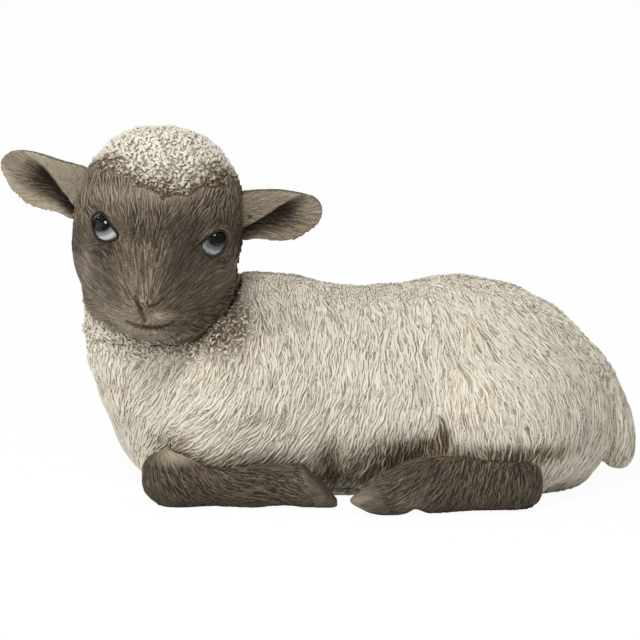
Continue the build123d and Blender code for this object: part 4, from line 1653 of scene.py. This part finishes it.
def clearDome(opening):
    # a thin clear shell in front of the iris, its edge under the lids
    def cut(working):
        ways = np.array([vert.co[:] for vert in working.verts])
        gap = opening.gap(toHead(ways * eyeRadius + fromHead(opening.centre)))
        away = (gap > domeSet["past"]) | (ways @ headTurn.T @ opening.middle < 0)
        bmesh.ops.delete(working, geom=[working.verts[i] for i in np.nonzero(away)[0]], context="VERTS")

    mesh = sphere(1 / mm, (0, 0, 0), 64, 64)
    reworked(mesh, cut)
    writeSpots(mesh, meshArrays(mesh)[0] * mm * (eyeRadius + domeSet["air"]) + fromHead(opening.centre))
    return evaluated(mesh, ("SOLIDIFY", {"thickness": domeSet["wall"] * mm, "offset": -1}))


lidMat = lidMaterial()
domeMat = domeMaterial()
for sideName, opening in openings.items():
    side = sideName.capitalize()
    ball = eyeBall(sideName, opening)
    addPiece("glassEye" + side, ball, eyeMaterial(sideName), "eye_ball_" + sideName)
    addPiece("lidRim" + side, lidRim(opening), lidMat)
for sideName, opening in openings.items():
    side = sideName.capitalize()
    addPiece("clearDome" + side, clearDome(opening), domeMat, "eye_dome_" + sideName)
print("eyes set")

# ears; along each from its root, half is the casting's half height, top and bottom are the carved edges, and
# fold is the line between the upper lobe and the cup
earSet = {
    "voxel": 0.85,
    "firstSmoothing": 2,
    "lastSmoothing": 3,
    "root": (42.0, 3.0, -6.0),
    "sweep": 2,
    "facing": 12,
    "half": (
        (0, 6, 12, 18, 24, 30, 36, 42, 48, 54, 60),
        (8, 10.5, 13.6, 16, 17.7, 18.5, 18.6, 18.1, 16.8, 13.6, 6),
    ),
    "rates": (0.3, 2.1),  # least and most that the outline is drawn in or out
    "rateFrom": (-4, 8),
    "heel": (0.7, 30, 0.5),  # share of the lower edge at the root, length until it is full, and the least
    "cupDepth": 9.0,
    "cupFade": 22,
    "cupSlope": 0.8,
    "tipDepth": 1.5,
    "tipFade": (58, -20),
    "foldWidth": 0.14,  # share of the cup
    "lobeHeight": 3.2,
    "rimHeight": 0.6,
    "rimWidth": 0.12,  # share of the lobe
    "rimFade": (52, -12),
    "frontFrom": (1, 5),
    "frontTurn": 2.5,
    "tucked": 5,  # how far the root is drawn into the head
    "tuckedLength": 14,
    "tipFrom": 50,
    "right": {
        "side": -1,
        "rise": 24,
        "top": ((0, 10, 18, 28, 45, 54, 60, 62), (21, 20, 19.5, 17.8, 16.3, 14.8, 12, 9)),
        "bottom": ((0, 11, 23, 34, 46, 54, 60), (16, 16.7, 20, 20, 15.2, 10, 4)),
        "fold": (
            (0, 7.7, 13.5, 19.6, 26, 35, 41.4, 47.8, 54),
            (-12, -7.9, -2.9, 0.3, 4.1, 8.8, 10.1, 11.5, 13),
        ),
        "recess": 47.0,
        "tip": 1.15,
        "lobePale": 0.46,
        "edgePale": 0.6,
    },
    "left": {
        "side": 1,
        "rise": 17,
        "top": ((0, 19, 31, 45, 48, 54, 60), (15, 17.5, 16.8, 12.8, 11.7, 9.8, 5.2)),
        "bottom": ((0, 12, 26, 35, 47, 54, 60), (16, 17.2, 20.5, 20.3, 14.8, 10.5, 5.5)),
        "fold": ((0, 10.2, 15.5, 21.6, 30.4, 37, 44), (-11, -6.1, -3.2, 0.2, 5.5, 8.8, 11)),
        "recess": 46.0,
        "tip": 0.6,
        "lobePale": 0.36,
        "edgePale": 0.24,
    },
}
earTones = {
    "cup": 0.95,
    "cupMiddle": 0.2,  # share of the way to the lower rim
    "cupWidth": 0.3,
    "cupPast": 2,
    "cupFade": 16,
    "seam": 0.55,
    "seamWidth": 9,
    "back": 0.6,
    "backWidth": 2.2,
    "backFade": (50, -16),
    "darkest": 0.93,
    "rim": 0.35,
    "rimAbove": 0.8,
    "rimWidth": 1.2,
    "rimFade": (56, -10),
    "lobeBlend": (0.4, 3),
    "tip": 0.3,
    "tipFrom": (34, 14),
    "edgeFrom": (0.55, 0.25),
    "palest": 0.6,
    "rootFade": (-2, 12, 0.2),
}
earHair = {
    "from": -2,
    "to": 26,
    "thinning": (30, 16, 0.3),  # length at which the hair starts to thin, over what length, and the least
    "tries": 16000,
    "seed": 80,
    "growSeed": 90,
    "lengthSpread": (0.7, 1.3),
    "radiusSpread": (0.75, 1.2),
    "wide": 1.0,
    "long": 4.0,
    "length": 6.5,
    "radius": 0.5,
}
earHairStyle = hairStyle | {"rise": ((0, 0.2, 0.6, 1), (-1.0, -0.15, -0.1, -0.7)), "swing": 0.1}


class Ear:
    # one ear in its own frame: up across it, out of its cup, and along it from the root
    def __init__(self, sideName):
        self.facts = earSet[sideName]
        self.side = self.facts["side"]
        x, y, z = earSet["root"]
        self.root = np.array((self.side * x, y, z))
        rise, sweep, face = (math.radians(a) for a in (self.facts["rise"], earSet["sweep"], earSet["facing"]))
        flat = math.cos(rise)
        along = np.array((self.side * flat * math.cos(sweep), math.sin(rise), -flat * math.sin(sweep)))
        across = unit(np.cross((0, math.sin(face), math.cos(face)), along))
        self.axes = np.stack((across, np.cross(along, across), along))

    def place(self, spots):
        place = (toHead(spots) - self.root) @ self.axes.T
        place[:, 0] *= self.side
        return place

    def world(self, place):
        return fromHead((place * np.array((self.side, 1, 1))) @ self.axes + self.root)

    def towards(self, ways):
        # how far directions point out of the cup
        return (ways @ headTurn.T @ self.axes.T)[:, 1]

    def painted(self, ways):
        # 1 on the front of the ear, which the tones below are for, 0 on its back
        return np.clip(self.towards(ways) * 2 + 0.4, 0, 1)

    def line(self, name, along):
        return np.interp(along, *self.facts[name])

    def carve(self, mesh):
        # the outline drawn to top and bottom, the cup hollowed below the fold, and a lobe above it
        spots, normals = meshArrays(mesh)
        place, facing = self.place(spots), self.towards(normals)
        along = place[:, 2].copy()
        top, low, fold = (self.line(name, along) for name in ("top", "bottom", "fold"))
        heel, length, least = earSet["heel"]
        low = low * np.clip(heel + along / length, least, 1)
        rate = np.where(place[:, 0] > 0, top, low) / np.interp(along, *earSet["half"])
        place[:, 0] *= 1 + (np.clip(rate, *earSet["rates"]) - 1) * ramp(along, *earSet["rateFrom"])
        share = ramp(fold - place[:, 0], 0, np.maximum(fold + low, 1))
        above = ramp(place[:, 0] - fold, 0, np.maximum(top - fold, 1))
        depth = earSet["cupDepth"] * ramp(along, self.facts["recess"], -earSet["cupFade"])
        depth += earSet["tipDepth"] * ramp(along, *earSet["tipFade"])
        steep = ramp(share, 0, earSet["foldWidth"])
        dish = -depth * steep * steep * (3 - 2 * steep) * (1 - share) ** earSet["cupSlope"]
        lobe = earSet["lobeHeight"] * (1 - above) * above
        lobe += earSet["rimHeight"] * hump(above, earSet["rimWidth"]) * ramp(along, *earSet["rimFade"])
        target = np.where(place[:, 0] < fold, dish, lobe)
        front = np.clip(facing * earSet["frontTurn"], 0, 1) * ramp(along, *earSet["frontFrom"])
        place[:, 1] += (target - place[:, 1]) * front
        place[:, 2] -= earSet["tucked"] * np.clip(1 - along / earSet["tuckedLength"], 0, 1)
        place[:, 2] += (self.facts["tip"] - 1) * np.maximum(place[:, 2] - earSet["tipFrom"], 0)
        writeSpots(mesh, self.world(place))

    def cupShare(self, place):
        # the share of the way from the fold to the lower rim
        fold, low = self.line("fold", place[:, 2]), self.line("bottom", place[:, 2])
        return (fold - place[:, 0]) / np.maximum(fold + low, 1)

    def shade(self, spots):
        # painted shade in the recess of the cup, and darker bands at the root and along the back of the top
        # edge
        place = self.place(spots)
        share, along = self.cupShare(place), place[:, 2]
        tones = earTones
        deep = tones["cup"] * hump(share - tones["cupMiddle"], tones["cupWidth"]) * (share > 0)
        deep *= ramp(along, self.facts["recess"] + tones["cupPast"], -tones["cupFade"])
        seam = tones["seam"] * hump(np.maximum(along, 0), tones["seamWidth"])
        back = tones["back"] * hump(place[:, 0] - self.line("top", along), tones["backWidth"])
        back *= ramp(along, *tones["backFade"])
        return np.clip(np.maximum(deep, np.maximum(seam, back)), 0, tones["darkest"])

    def pale(self, spots):
        place = self.place(spots)
        along, above = place[:, 2], place[:, 0] - self.line("fold", place[:, 2])
        tones = earTones
        rim = tones["rim"] * hump(above - tones["rimAbove"], tones["rimWidth"])
        rim *= ramp(along, *tones["rimFade"])
        atFold, blend = tones["lobeBlend"]
        lobe = self.facts["lobePale"] * np.clip(above / blend + atFold, 0, 1)
        lobe += tones["tip"] * ramp(along, *tones["tipFrom"])
        edge = self.facts["edgePale"] * ramp(self.cupShare(place), *tones["edgeFrom"])
        start, length, least = tones["rootFade"]
        root = np.clip((along - start) / length, least, 1)
        return np.clip(np.maximum(rim, np.maximum(lobe, edge)), 0, tones["palest"]) * root

    def comb(self, spots, ups):
        # out along the ear, spreading a little
        place = (toHead(spots) - self.root) @ self.axes.T
        way = np.stack((place[:, 0] * 0.03, np.zeros(len(place)), np.ones(len(place))), 1)
        return way @ self.axes @ headTurn

    def keep(self, spots, ups):
        along = self.place(spots)[:, 2]
        return (along > earHair["from"]) & (along < earHair["to"])

    def spacing(self, spots):
        return earHair["wide"], earHair["long"]

    def sizes(self, spots):
        start, length, least = earHair["thinning"]
        thin = np.clip((start - self.place(spots)[:, 2]) / length, least, 1)
        return earHair["length"], earHair["radius"] * thin


def layEar(sideName):
    ear = Ear(sideName)
    mesh = remeshedCopy("ear_" + sideName, earSet["voxel"])
    softened(mesh, earSet["firstSmoothing"])
    ear.carve(mesh)
    softened(mesh, earSet["lastSmoothing"])
    storeFlow(mesh, ear.comb)
    spots, normals = meshArrays(mesh)
    front = ear.painted(normals)
    store(mesh, shade=ear.shade(spots) * front, pale=ear.pale(spots) * front)
    addPiece("earSkin" + sideName.capitalize(), mesh, earMat, "ear_" + sideName)
    seeds = {"seed": earHair["seed"] + ear.side, "growSeed": earHair["growSeed"] + ear.side}
    coat = Coat(Skin(mesh), ear.comb, earHair | seeds, ear.keep, ear.spacing, ear.sizes)
    hair, places, lift = coat.grow(ear.comb, earHairStyle)
    front = ear.painted(np.repeat(coat.ups, len(places) // coat.count, axis=0))
    crest = np.clip(0.3 + lift / 0.7, 0, 1)
    store(hair, crest=crest, shade=ear.shade(places) * front, pale=ear.pale(places) * front)
    addPiece("earHair" + sideName.capitalize(), hair, faceMat)
    print("ear", sideName, coat.count, "hairs")


layEar("left")
layEar("right")

# legs
legSet = {
    "voxel": 1.1,
    "smoothing": 8,
    "sole": 1.5,  # stays flat
    "hairSink": 0.5,
    "groove": 0.9,  # between hair and hoof
    "grooveShade": 0.6,
    "underDark": 0.3,  # painted shade on the skin below the hair
    "combSpread": 14.0,
    "foreleg": {
        "hoof": {"edge": -14.0, "slant": 0.4125, "top": 28, "blend": 1.5},
        "guides": [
            ((-103, -56, 18), (0.1, -0.1, -1)),
            ((-92, -66, 20), (0.25, 0, -0.97)),
            ((-88, -60, 31), (0.1, -0.5, -0.8)),
            ((-75, -68, 14), (0.7, 0, -0.7)),
            ((-72, -60, 30), (0.5, -0.3, -0.8)),
            ((-45, -70, 16), (1.0, 0, -0.1)),
            ((-25, -70, 14), (1.0, 0, -0.15)),
            ((-12, -70, 20), (0.9, 0, -0.4)),
        ],
        "lifts": [((-20, -66, 0), (12, 30, 3), 1.5)],  # centre, radii, height
        # darker places, mostly low down by the ground: centre, radii, strength, on both sides
        "darkening": [((-60, -60, 2), (60, 20, 7), 0.3, True), ((-100, -60, 8), (14, 20, 10), 0.15, True)],
        "paleTop": (0.7, (25, 8), [(-100, 14), (-14, -12)]),  # strength, height, ends along the leg
        "paleSpots": [((0, -66, 15), (12, 14, 12), 0.05)],
    },
    "hind_leg": {
        "hoof": {"edge": 36.0, "slant": 0.5, "top": 16, "blend": -5},
        "guides": [
            ((125, -66, 20), (-0.1, 0, -1)),
            ((105, -75, 20), (-0.1, 0, -1)),
            ((85, -78, 20), (-0.25, 0, -0.95)),
            ((65, -82, 20), (-0.55, 0, -0.8)),
            ((48, -88, 18), (-0.85, 0, -0.5)),
            ((35, -90, 14), (-0.95, 0, -0.25)),
            ((95, -66, 31), (-0.1, -0.9, -0.2)),
        ],
        "lifts": [
            ((56, -90, 0), (5, 30, 4), 4.0),
            ((95, -80, 0), (30, 30, 3), 1.5),
            ((98, -75, 33), (30, 30, 8), 4.5),
            ((22, -90, 22), (10, 30, 8), -3.0),
        ],
        # darker places, mostly low down by the ground
        "darkening": [((80, -80, 2), (60, 20, 7), 0.3, True), ((55, -90, 27), (20, 14, 6), 0.35, True)],
        "paleTop": (0.2, (31, 6), [(62, 26)]),
        "paleSpots": [((20, -90, 12), (9, 14, 9), 0.22), ((52, -92, 8), (9, 14, 6), 0.12)],
    },
}
foreHoofCut = {"from": -14, "top": 27, "slopeFrom": -13, "tip": 3}
hindHoofCut = {
    "tip": 13,
    "length": 15,
    "least": 0.2,
    "middle": 88,
    "middleHeight": 9.4,
    "narrowing": (0.4, 0.6),
    "splitHeight": 7,
    "splitWidth": 1.2,
    "splitDepth": 1.4,
    "splitEnd": (34, -6),
}
legHair = {
    "seed": 100,
    "growSeed": 110,
    "hoofShare": 0.3,  # up to which hair grows
    "from": 1.2,
    "crest": 0.6,
    "tries": 34000,
    "lengthSpread": (0.75, 1.3),
    "radiusSpread": (0.85, 1.15),
    "wide": 1.0,
    "long": 5.0,
    "length": 8.5,
    "radius": 0.44,
    "lowest": 0.9,
}


def cutForeHoof(spots):
    # the top falls to the tip as a wedge
    cut = foreHoofCut
    ceiling = cut["top"] - np.maximum(spots[:, 0] - cut["slopeFrom"], 0)
    wedge = np.minimum(spots[:, 2], np.maximum(ceiling, cut["tip"]))
    spots[:, 2] = np.where(spots[:, 0] > cut["from"], wedge, spots[:, 2])


def cutHindHoof(spots):
    # drawn together towards the tip, and split
    cut = hindHoofCut
    pinch = np.clip((spots[:, 0] - cut["tip"]) / cut["length"], cut["least"], 1) ** 0.5
    spots[:, 2] = cut["middleHeight"] + (spots[:, 2] - cut["middleHeight"]) * pinch
    middle = np.sign(spots[:, 1]) * cut["middle"]
    spots[:, 1] = middle + (spots[:, 1] - middle) * graded(cut["narrowing"], pinch)
    split = hump(spots[:, 2] - cut["splitHeight"], cut["splitWidth"]) * ramp(spots[:, 0], *cut["splitEnd"])
    outside = np.abs(spots[:, 1]) > cut["middle"]
    spots[:, 1] -= np.sign(spots[:, 1]) * cut["splitDepth"] * split * outside


def legPale(facts, spots):
    # hair that fades into the wool along the top, and the lit places of the hoof
    strength, height, ends = facts["paleTop"]
    pale = strength * ramp(spots[:, 2], *height)
    for end in ends:
        pale *= ramp(spots[:, 0], *end)
    for centre, radii, strength in facts["paleSpots"]:
        pale += strength * lump(spots, centre, radii, True)
    return np.clip(pale, 0, 1)


def layLeg(name, sideName, number):
    facts, nodeName = legSet[name], name + "_" + sideName
    comb = combFrom(facts["guides"], legSet["combSpread"])

    def hoofShare(spots):
        # 1 on the hoof, 0 on the haired leg
        form = facts["hoof"]
        edge = form["edge"] + form["slant"] * (form["top"] - spots[:, 2])
        return np.clip((spots[:, 0] - edge) / form["blend"] + 0.5, 0, 1)

    def keep(spots, ups):
        return (hoofShare(spots) < legHair["hoofShare"]) & (spots[:, 2] > legHair["from"])

    def spacing(spots):
        return legHair["wide"], legHair["long"]

    def sizes(spots):
        return legHair["length"], legHair["radius"]

    mesh = remeshedCopy(nodeName, legSet["voxel"])
    softened(mesh, legSet["smoothing"], meshArrays(mesh)[0][:, 2] > legSet["sole"])
    spots, normals = meshArrays(mesh)
    hoof = hoofShare(spots)
    step = 4 * hoof * (1 - hoof)
    push = -legSet["hairSink"] * (1 - hoof) - legSet["groove"] * step
    push[spots[:, 2] < legSet["sole"]] = 0
    spots = spots + normals * push[:, None]
    for centre, radii, height in facts["lifts"]:
        spots[:, 2] += height * lump(spots, centre, radii, True)
    if name == "foreleg":
        cutForeHoof(spots)
    else:
        cutHindHoof(spots)
    writeSpots(mesh, spots)
    storeFlow(mesh, comb)
    spots, _ = meshArrays(mesh)
    shade = np.maximum(darkened(spots, facts["darkening"]), legSet["grooveShade"] * step)
    store(mesh, hoof=hoof, crest=-legSet["underDark"] * (1 - hoof), shade=shade, pale=legPale(facts, spots))
    addPiece(nodeName + "Skin", mesh, legSkinMat, nodeName)
    seeds = {"seed": legHair["seed"] + number, "growSeed": legHair["growSeed"] + number}
    coat = Coat(Skin(mesh), comb, legHair | seeds, keep, spacing, sizes)
    hair, places, lift = coat.grow(comb, hairStyle, lowest=legHair["lowest"])
    shade = darkened(places, facts["darkening"])
    store(hair, crest=legHair["crest"] * hairCrest(lift), shade=shade, pale=legPale(facts, places))
    addPiece(nodeName + "Hair", hair, legMat)
    print(nodeName, coat.count, "hairs")


for number, (name, sideName) in enumerate(
    (("foreleg", "left"), ("foreleg", "right"), ("hind_leg", "left"), ("hind_leg", "right"))
):
    layLeg(name, sideName, number)


# base plate, bung and pins
def resinMaterial():
    mix = Recipe("bareResin")
    colour = mix.blend(mix.noise(90.0, 4.0), paint(196, 188, 170), paint(214, 208, 194))
    normal = mix.bump(mix.noise(1500.0, 2.0), 0.25, 0.0003)
    return mix.surface(Base_Color=colour, Roughness=0.55, Normal=normal)


def rubberMaterial():
    mix = Recipe("bungRubber")
    grain = mix.noise(1800.0, 2.0)
    colour = mix.blend(grain, paint(34, 33, 32), paint(52, 50, 48))
    return mix.surface(Base_Color=colour, Roughness=0.75, Normal=mix.bump(grain, 0.2, 0.0002))


def steelMaterial():
    mix = Recipe("pinSteel")
    grain = mix.noise(2500.0, 2.0)
    colour = mix.blend(grain, paint(168, 168, 170), paint(196, 196, 198))
    return mix.surface(Base_Color=colour, Roughness=grain * 0.2 + 0.28, Metallic=1.0)


pinSteel = steelMaterial()
plainFinishes = {
    "base_plate": resinMaterial(),
    "vent_bung": rubberMaterial(),
    "ear_pins": pinSteel,
    "leg_pins": pinSteel,
    "tail_pin": pinSteel,
}
for nodeName, material in plainFinishes.items():
    nodes[nodeName].data.materials.clear()
    nodes[nodeName].data.materials.append(material)

# studio; its lengths are metres, the elevation is in degrees
studio = {
    "floorSize": 6.0,
    "floorWhite": 0.92,
    "floorGlow": 0.95,
    "worldStrength": 0.46,
    "keyPower": 48.0,
    "keySize": 0.75,
    "keyPlace": (-0.5, -1.5, 2.2),
    "fillPower": 20.0,
    "fillSize": 2.2,
    "fillPlace": (-1.9, -0.9, 0.7),
    "distance": 4.0,
    "elevation": 12.0,
    "aim": (0.0, 0.0, 0.0996),
    "frameWidth": 0.3802,
    "sensor": 36.0,
    "farthest": 50,
}


def addAimed(name, data, place):
    # a lamp or camera that looks at the lamb
    holder = bpy.data.objects.new(name, data)
    holder.location = place
    aim = Vector(studio["aim"]) - Vector(place)
    holder.rotation_euler = aim.to_track_quat("-Z", "Y").to_euler()
    bpy.context.scene.collection.objects.link(holder)
    return holder


def addLamp(name):
    lamp = bpy.data.lights.new(name + "Lamp", "AREA")
    lamp.size = studio[name + "Size"]
    lamp.energy = studio[name + "Power"]
    addAimed(name + "Lamp", lamp, studio[name + "Place"])


def addCamera():
    lens = bpy.data.cameras.new("camera")
    lens.sensor_width = studio["sensor"]
    lens.lens = studio["sensor"] * studio["distance"] / studio["frameWidth"]
    lens.clip_end = studio["farthest"]
    tilt = math.radians(studio["elevation"])
    place = Vector(studio["aim"]) + Vector((0, -math.cos(tilt), math.sin(tilt))) * studio["distance"]
    bpy.context.scene.camera = addAimed("camera", lens, place)


def floorMaterial():
    # matte white that glows to the camera alone
    mix = Recipe("floorWhite")
    seen = mix.node("ShaderNodeLightPath", outlet="Is Camera Ray")
    matte = mix.node("ShaderNodeBsdfDiffuse", {}, {"Color": (*[studio["floorWhite"]] * 3, 1)})
    glow = mix.node("ShaderNodeEmission", {}, {"Color": white, "Strength": 1.0})
    both = mix.node("ShaderNodeMixShader", {}, {0: seen * studio["floorGlow"], 1: matte, 2: glow})
    return mix.finished(both)


def addFloor():
    floor = bmesh.new()
    bmesh.ops.create_grid(floor, x_segments=1, y_segments=1, size=studio["floorSize"] / 2)
    mesh = bpy.data.meshes.new("floor")
    floor.to_mesh(mesh)
    floor.free()
    mesh.materials.append(floorMaterial())
    piece = bpy.data.objects.new("floor", mesh)
    bpy.context.scene.collection.objects.link(piece)


def addWorld():
    # dimmer as a light than as the backdrop that the camera sees
    world = bpy.data.worlds.new("studioWorld")
    bpy.context.scene.world = world
    world.use_nodes = True
    tree = world.node_tree
    tree.nodes.clear()
    light = tree.nodes.new("ShaderNodeBackground")
    light.inputs["Color"].default_value = white
    light.inputs["Strength"].default_value = studio["worldStrength"]
    backdrop = tree.nodes.new("ShaderNodeBackground")
    backdrop.inputs["Color"].default_value = white
    path = tree.nodes.new("ShaderNodeLightPath")
    mixer = tree.nodes.new("ShaderNodeMixShader")
    out = tree.nodes.new("ShaderNodeOutputWorld")
    tree.links.new(path.outputs["Is Camera Ray"], mixer.inputs[0])
    tree.links.new(light.outputs[0], mixer.inputs[1])
    tree.links.new(backdrop.outputs[0], mixer.inputs[2])
    tree.links.new(mixer.outputs[0], out.inputs["Surface"])


addFloor()
addWorld()
addLamp("key")
addLamp("fill")
addCamera()
bpy.context.scene.view_settings.view_transform = "Standard"
print("studio lit")
